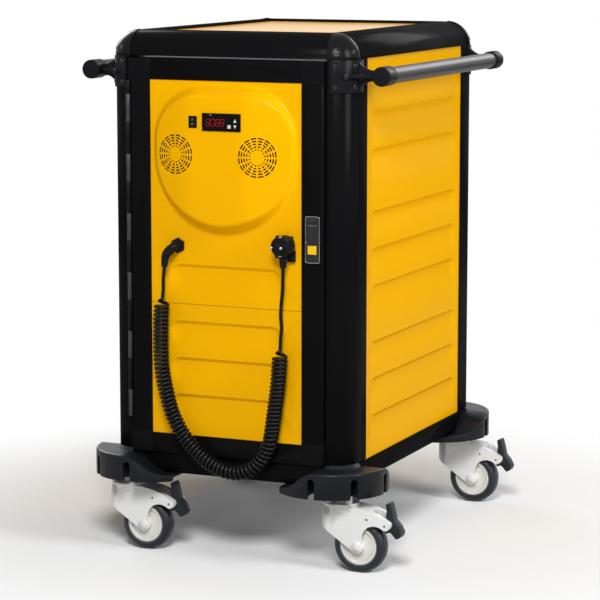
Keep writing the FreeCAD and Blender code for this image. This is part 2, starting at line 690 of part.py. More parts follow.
def door_rail(low, high, inward):
    """Top or bottom profile of the door; inward is +1 where the skin is above it and -1 below it."""
    half = STILE_IN_X
    tuck = DOOR_SKIN_TUCK + 0.2
    rail = box(-half, half, DOOR_FACE, DOOR_BACK, low, high)
    edge = high if inward > 0 else low
    g0, g1 = (edge - tuck, edge) if inward > 0 else (edge, edge + tuck)
    h0 = low + FRAME_WALL + (0 if inward > 0 else tuck)
    h1 = high - FRAME_WALL - (tuck if inward > 0 else 0)
    hollow = box(-half, half, DOOR_FACE + FRAME_WALL, DOOR_BACK - FRAME_WALL, h0, h1)
    groove = box(-half, half, SKIN_FACE - 0.1, SKIN_BACK + 0.1, g0, g1)
    rebate = box(-half, half, DOOR_BACK - INNER_SKIN_T, DOOR_BACK, g0, g1)
    return rail.cut(hollow).cut(groove).cut(rebate)


def bulge_wire(inset, y):
    """Outline of the D-shaped housing: a half circle below, rounded corners above."""
    half = BULGE_HALF_W - inset
    top = BULGE_TOP - inset
    corner = BULGE_CORNER_R - inset
    k = corner * math.sqrt(0.5)
    zc = BULGE_CENTRE_Z
    low = V(0, y, zc - half)
    left, right = V(-half, y, zc), V(half, y, zc)
    left_up, right_up = V(-half, y, top - corner), V(half, y, top - corner)
    edges = [
        arc(left, V(-half * math.sqrt(0.5), y, zc - half * math.sqrt(0.5)), low),
        arc(low, V(half * math.sqrt(0.5), y, zc - half * math.sqrt(0.5)), right),
        line(right, right_up),
        arc(right_up, V(half - corner + k, y, top - corner + k), V(half - corner, y, top)),
        line(V(half - corner, y, top), V(-half + corner, y, top)),
        arc(V(-half + corner, y, top), V(-half + corner - k, y, top - corner + k), left_up),
        line(left_up, left),
    ]
    return Part.Wire(edges)


def folded_room(face):
    """All the room behind the housing's folded face, whose flat middle lies on y = face."""
    tilt = math.radians(FACE_TILT)
    slope = math.tan(tilt)
    setback = BULGE_FOLD_ROUND * math.tan(tilt / 2)
    bow = BULGE_FOLD_ROUND * (1 - math.cos(tilt / 2))
    far = 2 * BULGE_HALF_W
    sides = []
    for sign, fold in zip((-1, 1), BULGE_FOLDS):
        outer = V(fold + sign * setback * math.cos(tilt), face + setback * math.sin(tilt), 0)
        inner = V(fold - sign * setback, face, 0)
        middle = V(inner.x + sign * BULGE_FOLD_ROUND * math.sin(tilt / 2), face + bow, 0)
        end = V(sign * far, face + (far - sign * fold) * slope, 0)
        sides.append((end, outer, middle, inner, V(sign * far, face + far, 0)))
    (end_l, out_l, mid_l, in_l, back_l), (end_r, out_r, mid_r, in_r, back_r) = sides
    edges = [line(end_l, out_l), arc(out_l, mid_l, in_l), line(in_l, in_r), arc(in_r, mid_r, out_r),
             line(out_r, end_r), line(end_r, back_r), line(back_r, back_l), line(back_l, end_l)]
    room = prism_of_edges(edges, Z * 2 * far)
    room.translate(Z * (BULGE_TOP - 1.5 * far))
    return room


def bulge(offset, base_y):
    """The housing as a solid, offset inwards, from base_y out to its folded face."""
    face = BULGE_FACE + offset
    rise = SKIN_FACE - BULGE_FACE
    base_inset = offset + BULGE_SLOPE * (SKIN_FACE - base_y) / rise
    loft = Part.makeLoft([bulge_wire(base_inset, base_y), bulge_wire(offset + BULGE_SLOPE, face)], True, True)
    body = loft.common(folded_room(face))
    rim = []
    for edge in body.Edges:
        beside = body.ancestorsOfType(edge, Part.Face)
        walls = [f for f in beside if f.BoundBox.YMax > base_y - 1e-3]
        if len(walls) == 1 and edge.BoundBox.YMax < base_y - 1e-3:
            rim.append(edge)
    return body.makeFillet(BULGE_EDGE_ROUND - offset, rim)


def grille_frame(place, side):
    """Centre of a grille's outer face on the housing's tilted face, and its outward direction."""
    tilt = math.radians(FACE_TILT)
    fold = BULGE_FOLDS[0] if side < 0 else BULGE_FOLDS[1]
    sink = abs(place[0] - fold) * math.tan(tilt)
    out = V(side * math.sin(tilt), -math.cos(tilt), 0)
    return V(place[0], BULGE_FACE + sink, BULGE_CENTRE_Z + place[1]), out


GRILLES = {"left": grille_frame(GRILLE_LEFT, -1), "right": grille_frame(GRILLE_RIGHT, 1)}


def slot_tools(centre, out):
    """Five rings of short curved slots through a grille."""
    side = unit(out.cross(Z))
    tools = []
    for ring in SLOT_RINGS:
        r0, r1 = ring - SLOT_W / 2, ring + SLOT_W / 2
        half = math.pi / SLOTS_PER_RING - SPOKE_W / 2 / ring
        for k in range(SLOTS_PER_RING):
            middle = 2 * math.pi * (k + 0.5) / SLOTS_PER_RING
            angles = (middle - half, middle, middle + half)
            back = centre - out * (GRILLE_T + FAN_SINK)
            inner = [back + side * (r0 * math.cos(a)) + Z * (r0 * math.sin(a)) for a in angles]
            outer = [back + side * (r1 * math.cos(a)) + Z * (r1 * math.sin(a)) for a in angles]
            edges = [arc(*inner), line(inner[2], outer[2]), arc(*reversed(outer)), line(outer[0], inner[0])]
            tools.append(prism_of_edges(edges, out * (GRILLE_T + 2 * FAN_SINK)))
    return tools


def door_skins():
    in_x = STILE_IN_X + DOOR_SKIN_TUCK
    top = DOOR_TOP - DOOR_RAIL_TOP_H + DOOR_SKIN_TUCK
    low = DOOR_BOTTOM + DOOR_RAIL_BOTTOM_H - DOOR_SKIN_TUCK
    rib_length = 2 * (STILE_IN_X - DOOR_RIB_INSET)
    top_rib = SEAM_Z + RIB_OVER_SEAM
    upper = ribbed_sheet(2 * in_x, SEAM_Z + SEAM_GAP / 2, top, DOOR_SKIN_T, rib_length, [top_rib])
    low_ribs = [SEAM_Z - RIBS_UNDER_SEAM - RIB_PITCH * k for k in range(3)]
    lower = ribbed_sheet(2 * in_x, low, SEAM_Z - SEAM_GAP / 2, DOOR_SKIN_T, rib_length, low_ribs)
    upper.translate(V(0, SKIN_FACE, 0))
    lower.translate(V(0, SKIN_FACE, 0))
    add("door_lower_panel", lower)
    upper = fuse(upper, bulge(0, SKIN_FACE))
    root_low = BULGE_CENTRE_Z - BULGE_HALF_W - 1
    root = [e for e in upper.Edges
            if abs(e.BoundBox.YMax - SKIN_FACE) < 1e-3 and abs(e.BoundBox.YMin - SKIN_FACE) < 1e-3
            and e.BoundBox.ZMin > root_low and e.BoundBox.ZMax < BULGE_TOP + 1]
    upper = upper.makeFillet(BULGE_ROOT_ROUND, root)
    skin = upper.cut(bulge(BULGE_WALL, SKIN_BACK))
    slots = []
    for centre, out in GRILLES.values():
        slots += slot_tools(centre, out)
    window = box(DISPLAY_X - DISPLAY_BODY_W / 2 - PANEL_FIT, DISPLAY_X + DISPLAY_BODY_W / 2 + PANEL_FIT,
                 BULGE_FACE - 1, SKIN_BACK, DISPLAY_Z - DISPLAY_BODY_H / 2 - PANEL_FIT,
                 DISPLAY_Z + DISPLAY_BODY_H / 2 + PANEL_FIT)
    switch_hole = box(SWITCH_X - SWITCH_W / 2 + 1.5, SWITCH_X + SWITCH_W / 2 - 1.5, BULGE_FACE - 1, SKIN_BACK,
                      SWITCH_Z - SWITCH_H / 2 + 1, SWITCH_Z + SWITCH_H / 2 - 1)
    cable_hole = rod(CORD_D / 2 + 1, V(GLAND_X, SKIN_FACE - 1, GLAND_Z), V(GLAND_X, SKIN_BACK + 1, GLAND_Z))
    skin = skin.cut(slots + [window, switch_hole, cable_hole])
    add("door_upper_panel", skin)
    back = box(-in_x, in_x, DOOR_BACK - INNER_SKIN_T, DOOR_BACK, low, top)
    add("door_inner_panel", back)
    half = MOUTH_HALF_W + GASKET_W
    y1 = JAMB - GASKET_GAP
    outer = box(-half, half, DOOR_BACK, y1, MOUTH_BOTTOM - GASKET_W, MOUTH_TOP + GASKET_W)
    inner = box(-MOUTH_HALF_W, MOUTH_HALF_W, DOOR_BACK, y1, MOUTH_BOTTOM, MOUTH_TOP)
    add("door_gasket", outer.cut(inner))


def fans():
    """A rotor behind each grille and the ring that carries its motor."""
    frames = []
    skin = nodes["door_upper_panel"][0]
    for side, (centre, out) in GRILLES.items():
        front = centre - out * (GRILLE_T + FAN_SINK)
        back = front - out * FAN_T
        ring = rod(GRILLE_R, back, centre).cut(rod(FAN_R + FAN_GAP, back, centre)).cut(skin)
        ring = max(ring.Solids, key=lambda piece: piece.Volume)
        motor = rod(FAN_HUB_R, back, back + out * 5)
        across = unit(out.cross(Z))
        strut = Part.makeBox(2 * GRILLE_R - 1, 4, 3)
        strut.translate(V(-GRILLE_R + 0.5, -2, 0))
        struts = []
        for angle in (30, 90, 150):
            spoke = turned(strut, angle, ORIGIN, Z)
            spoke.Placement = FreeCAD.Placement(back, FreeCAD.Rotation(across, Z, out, "ZXY")).multiply(
                spoke.Placement)
            struts.append(spoke)
        frames.append(fuse(ring, motor, *struts))
        hub_back = back + out * 5.5
        hub_front = front - out * FAN_GAP
        hub = rod(FAN_HUB_R, hub_back, hub_front)
        blades = []
        for k in range(FAN_BLADES):
            blade = Part.makeBox(FAN_R - FAN_HUB_R + 2, 16, 1.2)
            blade.translate(V(FAN_HUB_R - 2, -8, -0.6))
            blade.rotate(ORIGIN, X, 22)
            blade.rotate(ORIGIN, Z, 360 / FAN_BLADES * k)
            middle = (hub_back + hub_front) * 0.5
            blade.Placement = FreeCAD.Placement(middle, FreeCAD.Rotation(across, Z, out, "ZXY")).multiply(
                blade.Placement)
            blades.append(blade)
        room = rod(FAN_R, hub_back, hub_front)
        rotor = fuse(hub, *blades).common(room)
        add(side + "_fan", rotor)
    add("fan_frames", *frames)


def key_prism(place, kind, grow, y0, y1):
    """A key's outline, grown by a gap: a square, or a triangle that points up or down."""
    x, z = place
    half = KEY_SIZE / 2 + grow
    if kind == "square":
        return box(x - half, x + half, y0, y1, z - half, z + half)
    tip = half if kind == "up" else -half
    points = [(x - half, y0, z - tip), (x + half, y0, z - tip), (x, y0, z + tip)]
    return prism(points, V(0, y1 - y0, 0))


def controls():
    keys = {"key_set": (KEY_SET, "square"), "key_up": (KEY_UP, "up"), "key_down": (KEY_DOWN, "down")}
    front = BULGE_FACE - DISPLAY_PROUD
    bezel = box(DISPLAY_X - DISPLAY_W / 2, DISPLAY_X + DISPLAY_W / 2, front, BULGE_FACE,
                DISPLAY_Z - DISPLAY_H / 2, DISPLAY_Z + DISPLAY_H / 2)
    rim = [e for e in bezel.Edges if e.BoundBox.YMax < front + 1e-6]
    bezel = bezel.makeFillet(1.0, rim)
    body = box(DISPLAY_X - DISPLAY_BODY_W / 2, DISPLAY_X + DISPLAY_BODY_W / 2,
               BULGE_FACE, BULGE_FACE + DISPLAY_BODY_DEPTH,
               DISPLAY_Z - DISPLAY_BODY_H / 2, DISPLAY_Z + DISPLAY_BODY_H / 2)
    controller = bezel.fuse(body)
    for name, ((dx, dz), kind) in keys.items():
        place = (DISPLAY_X + dx, DISPLAY_Z + dz)
        well = front + KEY_DEPTH
        controller = controller.cut(key_prism(place, kind, KEY_GAP, front - 1, well))
        add(name, key_prism(place, kind, 0, front - KEY_PROUD, well - KEY_TRAVEL - 0.2))
    add("controller", controller)
    switch = box(SWITCH_X - SWITCH_W / 2, SWITCH_X + SWITCH_W / 2, BULGE_FACE - SWITCH_PROUD, BULGE_FACE,
                 SWITCH_Z - SWITCH_H / 2, SWITCH_Z + SWITCH_H / 2)
    shell = box(SWITCH_X - SWITCH_W / 2 + 1.8, SWITCH_X + SWITCH_W / 2 - 1.8, BULGE_FACE,
                BULGE_FACE + SWITCH_BODY_DEPTH, SWITCH_Z - SWITCH_H / 2 + 1.3, SWITCH_Z + SWITCH_H / 2 - 1.3)
    room = box(SWITCH_X - ROCKER_W / 2 - ROCKER_GAP, SWITCH_X + ROCKER_W / 2 + ROCKER_GAP,
               BULGE_FACE - SWITCH_PROUD, BULGE_FACE + 8, SWITCH_Z - ROCKER_H / 2 - ROCKER_GAP,
               SWITCH_Z + ROCKER_H / 2 + ROCKER_GAP)
    add("switch_frame", switch.fuse(shell).cut(room))
    high = ROCKER_H / 2 * math.tan(math.radians(ROCKER_TILT))
    y = BULGE_FACE - SWITCH_PROUD
    x0 = SWITCH_X - ROCKER_W / 2
    z0, z1 = SWITCH_Z - ROCKER_H / 2, SWITCH_Z + ROCKER_H / 2
    profile = [(x0, y + 0.4, SWITCH_Z), (x0, y - high, z1), (x0, y + 3, z1),
               (x0, y + 4.6, SWITCH_Z), (x0, y + 3, z0), (x0, y - high, z0)]
    pivot_at = V(SWITCH_X, y + ROCKER_PIVOT_DEPTH, SWITCH_Z)
    reach = X * (ROCKER_W / 2 + ROCKER_PIVOT_END)
    pivot = rod(ROCKER_PIVOT_R, pivot_at - reach, pivot_at + reach)
    rocker = prism(profile, V(ROCKER_W, 0, 0)).fuse(pivot)
    add("switch_rocker", turned(rocker, -ROCKER_TILT, pivot_at, X))


# ---------------------------------------------------------------- latch
def strike_blank():
    """The strike plate before its hole is cut, flush with the flank of the right front post."""
    return box(POST_X, POST_X + STRIKE_T, BOLT_Y - STRIKE_W / 2, BOLT_Y + STRIKE_W / 2,
               BOLT_Z - STRIKE_H / 2, BOLT_Z + STRIKE_H / 2)


def bolt_room(x0, x1, gap):
    """The bolt's cross-section, grown by a gap all round."""
    half_t, half_h = BOLT_T / 2 + gap, BOLT_H / 2 + gap
    return box(x0, x1, BOLT_Y - half_t, BOLT_Y + half_t, BOLT_Z - half_h, BOLT_Z + half_h)


def bolt_way():
    """Room for the bolt in the strike plate and the wall of the post."""
    return bolt_room(POST_X - 1, POST_X + FRAME_WALL + 1, 1.0)


def latch():
    x0, x1 = LATCH_X - LATCH_W / 2, LATCH_X + LATCH_W / 2
    z0, z1 = LATCH_Z - LATCH_H / 2, LATCH_Z + LATCH_H / 2
    front = DOOR_FACE - LATCH_PROUD
    flange = box(x0, x1, front, DOOR_FACE, z0, z1)
    sides = [e for e in flange.Edges if e.BoundBox.YLength > LATCH_PROUD - 1e-6]
    flange = flange.makeFillet(4.0, sides)
    back = DOOR_FACE + LATCH_DEPTH
    body = box(x0 + LATCH_WALL, x1 - LATCH_WALL, DOOR_FACE, back, z0 + LATCH_WALL, z1 - LATCH_WALL)
    recess_top = BUTTON_Z + BUTTON_SIZE / 2 + 3 + RECESS_H
    recess = box(LATCH_X - RECESS_W / 2, LATCH_X + RECESS_W / 2, front - 1, front + RECESS_DEPTH,
                 recess_top - RECESS_H, recess_top)
    half = BUTTON_SIZE / 2 + BUTTON_GAP
    hole = box(LATCH_X - half, LATCH_X + half, front - 1, back - LATCH_WALL, BUTTON_Z - half, BUTTON_Z + half)
    guide = box(LATCH_X - 10, LATCH_X + 8, back, BOLT_Y + BOLT_T / 2 + 2, BOLT_Z - BOLT_H / 2 - 3, z0 + 8)
    bore = bolt_room(LATCH_X - 11, LATCH_X + 9, BOLT_GAP)
    plate = flange.fuse(body).fuse(guide).cut(recess).cut(hole).cut(bore).removeSplitter()
    add("latch_plate", plate)
    half = BUTTON_SIZE / 2
    depth = back - LATCH_WALL - BUTTON_TRAVEL - BUTTON_GAP
    button_face = front - BUTTON_PROUD
    button = box(LATCH_X - half, LATCH_X + half, button_face, depth, BUTTON_Z - half, BUTTON_Z + half)
    rim = [e for e in button.Edges if e.BoundBox.YMax < button_face + 1e-6]
    add("latch_button", button.makeFillet(1.2, rim))
    nose = DOOR_HALF_W - 0.5
    bolt = bolt_room(nose - BOLT_LENGTH, nose, 0)
    tip = [e for e in bolt.Edges if e.BoundBox.XMin > nose - 1e-6 and e.BoundBox.ZLength > BOLT_H - 1e-6]
    add("latch_bolt", bolt.makeFillet(2.5, tip))
    add("strike_plate", strike_blank().cut(bolt_way()))


# ---------------------------------------------------------------- hinge
def hinge():
    """A long hinge: pin, knuckles of the door, and between them knuckles of the post."""
    fixed = []
    moving = []
    low_end, high_end = V(HINGE_X, HINGE_Y, DOOR_BOTTOM - 9), V(HINGE_X, HINGE_Y, DOOR_TOP + 9)
    bore = rod(HINGE_PIN_R + RUNNING_GAP, low_end, high_end)
    grip = rod(HINGE_PIN_R, low_end, high_end)
    for k in range(KNUCKLE_COUNT):
        high = KNUCKLE_FIRST - KNUCKLE_PITCH * k
        low = high - KNUCKLE_LENGTH
        tube = rod(KNUCKLE_R, V(HINGE_X, HINGE_Y, low), V(HINGE_X, HINGE_Y, high))
        leaf = box(-DOOR_HALF_W - LEAF_T, -DOOR_HALF_W, HINGE_Y, DOOR_FACE + LEAF_W, low, high)
        moving.append(tube.fuse(leaf).cut(bore))
        other = min(high + KNUCKLE_PITCH - KNUCKLE_LENGTH, DOOR_TOP - CORNER_BLOCK_H) - KNUCKLE_GAP
        tube = rod(KNUCKLE_R, V(HINGE_X, HINGE_Y, high + KNUCKLE_GAP), V(HINGE_X, HINGE_Y, other))
        leaf = box(-POST_X, -POST_X + LEAF_T, HINGE_Y, DOOR_FACE + LEAF_W, high + KNUCKLE_GAP, other)
        fixed.append(tube.fuse(leaf).cut(grip))
    add("hinge_door_knuckles", *moving)
    pin_foot = KNUCKLE_FIRST - KNUCKLE_PITCH * (KNUCKLE_COUNT - 1) - KNUCKLE_LENGTH
    pin_head = DOOR_TOP - CORNER_BLOCK_H - KNUCKLE_GAP
    pin = rod(HINGE_PIN_R, V(HINGE_X, HINGE_Y, pin_foot), V(HINGE_X, HINGE_Y, pin_head))
    add("hinge_post_knuckles", *fixed, pin)


# ---------------------------------------------------------------- push bars
def push_bars():
    """Two bars along the sides, each carried by a moulded bracket on the front and the rear post."""
    end = BAR_END_Y - BAR_PLUG
    bar = rod(BAR_R, V(BAR_X, -end, BAR_Z), V(BAR_X, end, BAR_Z))
    bar = bar.cut(rod(BAR_R - BAR_WALL, V(BAR_X, -end, BAR_Z), V(BAR_X, end, BAR_Z)))
    add("push_bars", bar, bar.mirror(ORIGIN, X))
    bracket, heads = bar_bracket(end)
    add("bar_brackets", *[to_corner(bracket, corner) for corner in CORNERS])
    return [to_corner(head, corner) for corner in CORNERS for head in heads]


def bar_bracket(bar_end):
    """Plate round the post, arm with a flared root, rib with its boss, and the socket of the bar."""
    z0 = BAR_Z - BRACKET_H / 2 - 1
    top = min(BAR_Z + BRACKET_H / 2 - 1, RAIL_Z)
    foot_at = V(POST_X, POST_Y, z0)
    outer_r = POST_R + BRACKET_T
    outer = Part.makeCylinder(outer_r, top - z0, foot_at, Z, 90)
    trim = box(0, 2 * outer_r, 0, 2 * outer_r, z0, top)
    trim = turned(trim, BRACKET_WRAP, ORIGIN, Z)
    trim.translate(V(POST_X, POST_Y, 0))
    wrap = outer.cut(trim)
    foot = box(HALF_W, HALF_W + BRACKET_T, POST_Y - 12, POST_Y, z0, top)
    cap_start = BAR_END_Y - BAR_CAP_LENGTH
    cap = rod(BAR_CAP_R, V(BAR_X, cap_start, BAR_Z), V(BAR_X, BAR_END_Y, BAR_Z))
    rim = [e for e in cap.Edges if e.BoundBox.YMin > BAR_END_Y - 1e-6]
    cap = cap.makeFillet(2.5, rim)
    socket = rod(BAR_R + BAR_SLIP, V(BAR_X, cap_start, BAR_Z), V(BAR_X, bar_end, BAR_Z))
    y = BAR_END_Y - BAR_CAP_LENGTH / 2
    x0 = HALF_W + BRACKET_T / 2
    x1 = BAR_X - BAR_CAP_R + 2
    half = BRACKET_H / 2 - 2
    narrow = BAR_CAP_R * 0.55
    edges = [arc(V(x0, y, BAR_Z + half - 2), V(x0 + 12, y, BAR_Z + half * 0.52), V(x1, y, BAR_Z + narrow)),
             line(V(x1, y, BAR_Z + narrow), V(x1, y, BAR_Z - narrow)),
             arc(V(x1, y, BAR_Z - narrow), V(x0 + 12, y, BAR_Z - half * 0.52), V(x0, y, BAR_Z - half)),
             line(V(x0, y, BAR_Z - half), V(x0, y, BAR_Z + half - 2))]
    web = prism_of_edges(edges, V(0, ARM_T, 0))
    web.translate(V(0, -ARM_T / 2, 0))
    middle = V(POST_X, POST_Y, BAR_Z)
    boss_out = V(math.cos(math.radians(48)), math.sin(math.radians(48)), 0)
    boss_top = outer_r + 4
    boss = rod(BOSS_R, middle + boss_out * (outer_r - 0.5), middle + boss_out * boss_top)
    rib_start = middle + boss_out * (outer_r + 1)
    rib_end = V(x1, y + 4, BAR_Z)
    half_rib = ARM_RIB_T / 2
    rib = Part.makeBox((rib_end - rib_start).Length, ARM_RIB_T, ARM_RIB_T, V(0, -half_rib, -half_rib))
    rib.Placement = FreeCAD.Placement(rib_start, FreeCAD.Rotation(X, rib_end - rib_start))
    shape = fuse(wrap, foot, cap, web, boss, rib).cut(socket)
    shape = shape.cut(rod(POST_R + SCREW_FIT, foot_at, V(POST_X, POST_Y, top)))
    places = [(48.0, 0.0, boss_top)]
    for azimuth in (22.0, 70.0):
        places += [(azimuth, 9 - BRACKET_H / 2, outer_r), (azimuth, BRACKET_H / 2 - 11, outer_r)]
    heads = []
    for azimuth, dz, face in places:
        out = V(math.cos(math.radians(azimuth)), math.sin(math.radians(azimuth)), 0)
        seat = middle + Z * dz + out * (face - SCREW_SEAT)
        shape = shape.cut(rod(SCREW_R + SCREW_FIT, seat, seat + out * (SCREW_SEAT + SCREW_PROUD)))
        heads.append(screw_head(SCREW_R, seat, out, SCREW_SEAT + SCREW_PROUD))
    return shape, heads


# ---------------------------------------------------------------- corner bumpers
def slope_cutter():
    """Everything above the S-shaped top of a bumper's wing, inboard of the post (+X side, wing along -X)."""
    top, low = BUMPER_TOP, CABINET_BOTTOM
    start, end = POST_X - BUMPER_SLOPE_START, POST_X - BUMPER_SLOPE_END
    middle = V((start + end) / 2, 0, (top + low) / 2)
    run, drop = (start - end) / 2, (top - low) / 2
    radius = (run * run + drop * drop) / (2 * drop)
    half = math.asin(run / radius) / 2
    first = V(start - radius * math.sin(half), 0, top - radius * (1 - math.cos(half)))
    second = V(end + radius * math.sin(half), 0, low + radius * (1 - math.cos(half)))
    far = start - HALF_D
    high = top + 20
    edges = [
        line(V(start, 0, high), V(start, 0, top)),
        arc(V(start, 0, top), first, middle),
        arc(middle, second, V(end, 0, low)),
        line(V(end, 0, low), V(far, 0, low)),
        line(V(far, 0, low), V(far, 0, high)),
        line(V(far, 0, high), V(start, 0, high)),
    ]
    return prism_of_edges(edges, V(0, 2 * HALF_D, 0))


def bumper():
    cx, cy = POST_X - BUMPER_SET_IN, POST_Y - BUMPER_SET_IN
    centre = V(cx, cy, BUMPER_BOTTOM)
    disc = Part.makeCylinder(BUMPER_R, BUMPER_TOP - BUMPER_BOTTOM, centre)
    rim = [e for e in disc.Edges if e.BoundBox.ZMin > BUMPER_TOP - 1e-6]
    disc = disc.makeFillet(BUMPER_EDGE_ROUND, rim)
    over_x = slope_cutter()
    over_y = slope_cutter().transformGeometry(FreeCAD.Matrix(0, 1, 0, 0, 1, 0, 0, 0, 0, 0, 1, 0, 0, 0, 0, 1))
    over_y.translate(V(0, POST_Y - POST_X, 0))
    under = box(cx - 2 * BUMPER_R, HALF_W, cy - 2 * BUMPER_R, POST_Y, CABINET_BOTTOM, BUMPER_TOP + 50)
    under_back = box(cx - 2 * BUMPER_R, POST_X, cy - 2 * BUMPER_R, HALF_D, CABINET_BOTTOM, BUMPER_TOP + 50)
    collar_foot = BUMPER_TOP - 1
    collar = cone(POST_R + COLLAR_FLARE, POST_R, V(POST_X, POST_Y, collar_foot), V(POST_X, POST_Y, POST_FOOT))
    collar = collar.common(box(POST_X, HALF_W + 20, POST_Y, HALF_D + 20, collar_foot, POST_FOOT))
    wing_end = box(cx - 2 * BUMPER_R, POST_X - BUMPER_SLOPE_END, 0, 2 * HALF_D, 0, BUMPER_TOP)
    shape = disc.cut([over_x, over_y, under, under_back, wing_end]).fuse(collar)
    cavity = Part.makeCylinder(BUMPER_R - BUMPER_RIM, BUMPER_CAVITY, centre)
    core_at = V(CASTOR_X, CASTOR_Y, BUMPER_BOTTOM)
    core = Part.makeCylinder(MOUNT_PLATE_R + BUMPER_CORE_EXTRA, BUMPER_CAVITY, core_at)
    shape = shape.cut(cavity.cut(core))
    slot_r = BUMPER_SLOT_W / 2
    for angle in (0.0, 45.0, 90.0):
        slot = box(BUMPER_R - BUMPER_SLOT_DEPTH, BUMPER_R + 9, -slot_r, slot_r, BUMPER_BOTTOM - 1,
                   BUMPER_SLOT_TOP - slot_r)
        arch = rod(slot_r, V(BUMPER_R - BUMPER_SLOT_DEPTH, 0, BUMPER_SLOT_TOP - slot_r),
                   V(BUMPER_R + 9, 0, BUMPER_SLOT_TOP - slot_r))
        slot = turned(slot.fuse(arch), angle, ORIGIN, Z)
        slot.translate(V(cx, cy, 0))
        shape = shape.cut(slot)
    return shape.removeSplitter()


def bumpers():
    shape = bumper()
    add("corner_bumpers", *[to_corner(shape, corner) for corner in CORNERS])
    mounts = []
    foot = FORK_TOP + MOUNT_GAP
    at = V(CASTOR_X, CASTOR_Y, foot)
    plate = Part.makeCylinder(MOUNT_PLATE_R, MOUNT_PLATE_T, at)
    boss = Part.makeCylinder(MOUNT_BOSS_R, BUMPER_BOTTOM - foot, at)
    sleeves = []
    for k in range(4):
        angle = math.radians(SLEEVE_START + 90 * k)
        place = at + V(math.cos(angle), math.sin(angle), 0) * (SLEEVE_PCD / 2)
        sleeves.append(Part.makeCylinder(SLEEVE_R, BUMPER_BOTTOM - foot, place))
    mount = fuse(plate, boss, *sleeves)
    for corner in CORNERS:
        mounts.append(to_corner(mount, corner))
    add("castor_mounts", *mounts)


# ---------------------------------------------------------------- castors
def fork_outline():
    """Side outline of the fork housing, x from the swivel axis and z from the floor."""
    a, b = V(-FORK_CROWN_R, 0, FORK_TOP), V(-33, 0, 84)
    c, d = V(29.5, 0, 42.3), V(51, 0, 50)
    e, f = V(57, 0, 85.5), V(88, 0, 86.5)
    g, h = V(101, 0, 99), V(FORK_CROWN_R, 0, FORK_TOP)
    return [
        arc(a, V(-FORK_BACK, 0, 103), b), line(b, c),
        arc(c, V(CASTOR_TRAIL + 1.5, 0, WHEEL_R - FORK_BOSS_R), d),
        arc(d, V(47.5, 0, 66), e), arc(e, V(72, 0, 91), f),
        arc(f, V(102, 0, 90.5), g), arc(g, V(68, 0, 114.8), h), line(h, a),
    ]


def castor_pieces():
    """Fork with its axle and pins, hub, tyre and pedal, with the swivel axis on the Z axis."""
    housing = prism_of_edges(fork_outline(), V(0, 2 * FORK_HALF_W, 0))
    housing.translate(V(0, -FORK_HALF_W, 0))
    plan = box(-FORK_BACK + FORK_HALF_W, 120, -FORK_HALF_W, FORK_HALF_W, 0, FORK_TOP)
    round_back = Part.makeCylinder(FORK_HALF_W, FORK_TOP, V(-FORK_BACK + FORK_HALF_W, 0, 0))
    housing = housing.common(plan.fuse(round_back))
    crown = Part.makeCylinder(FORK_CROWN_R, FORK_CROWN_T, V(0, 0, FORK_TOP - FORK_CROWN_T))
    housing = fuse(housing, crown)
    axle_at = V(CASTOR_TRAIL, 0, WHEEL_R)
    wheel_room = rod(WHEEL_R + WHEEL_ROOM, axle_at - Y * FORK_INNER, axle_at + Y * FORK_INNER)
    hollow = box(-WHEEL_R, WHEEL_R, -FORK_INNER, FORK_INNER, WHEEL_R, FORK_TOP - FORK_CROWN_T - 3)
    hollow = hollow.common(rod(WHEEL_R, V(18, -FORK_INNER, 68), V(18, FORK_INNER, 68)))
    channel_start = PEDAL_PIN[0] - 26
    channel = box(channel_start, channel_start + 64, -PEDAL_HALF_W - PEDAL_GAP, PEDAL_HALF_W + PEDAL_GAP,
                  WHEEL_R + 10, FORK_TOP + 9)
    axle_hole = rod(AXLE_R, axle_at - Y * 40, axle_at + Y * 40)
    pedal_at = V(PEDAL_PIN[0], 0, PEDAL_PIN[1])
    pin_hole = rod(PIN_R, pedal_at - Y * 40, pedal_at + Y * 40)
    other_at = V(FORK_PIN[0], 0, FORK_PIN[1])
    other_hole = rod(PIN_R, other_at - Y * 40, other_at + Y * 40)
    housing = housing.cut([wheel_room, hollow, channel, axle_hole, pin_hole, other_hole])
    reach = FORK_HALF_W
    axle = rod(AXLE_R, axle_at - Y * reach, axle_at + Y * reach)
    for side in (-1, 1):
        head = rod(FORK_BOSS_R - 2, axle_at + Y * side * reach, axle_at + Y * side * (reach + 1.6))
        axle = axle.fuse(head)
    pins = [rod(PIN_R, at - Y * (reach - 0.6), at + Y * (reach - 0.6)) for at in (pedal_at, other_at)]
    return [housing, axle.removeSplitter()] + pins


def revolve_about_axle(profile):
    """A closed profile of (radius, y) turned about the wheel's axle, which lies on the Y axis."""
    face = Part.Face(Part.makePolygon([V(r, y, 0) for r, y in profile + profile[:1]]))
    return face.revolve(ORIGIN, Y, 360)


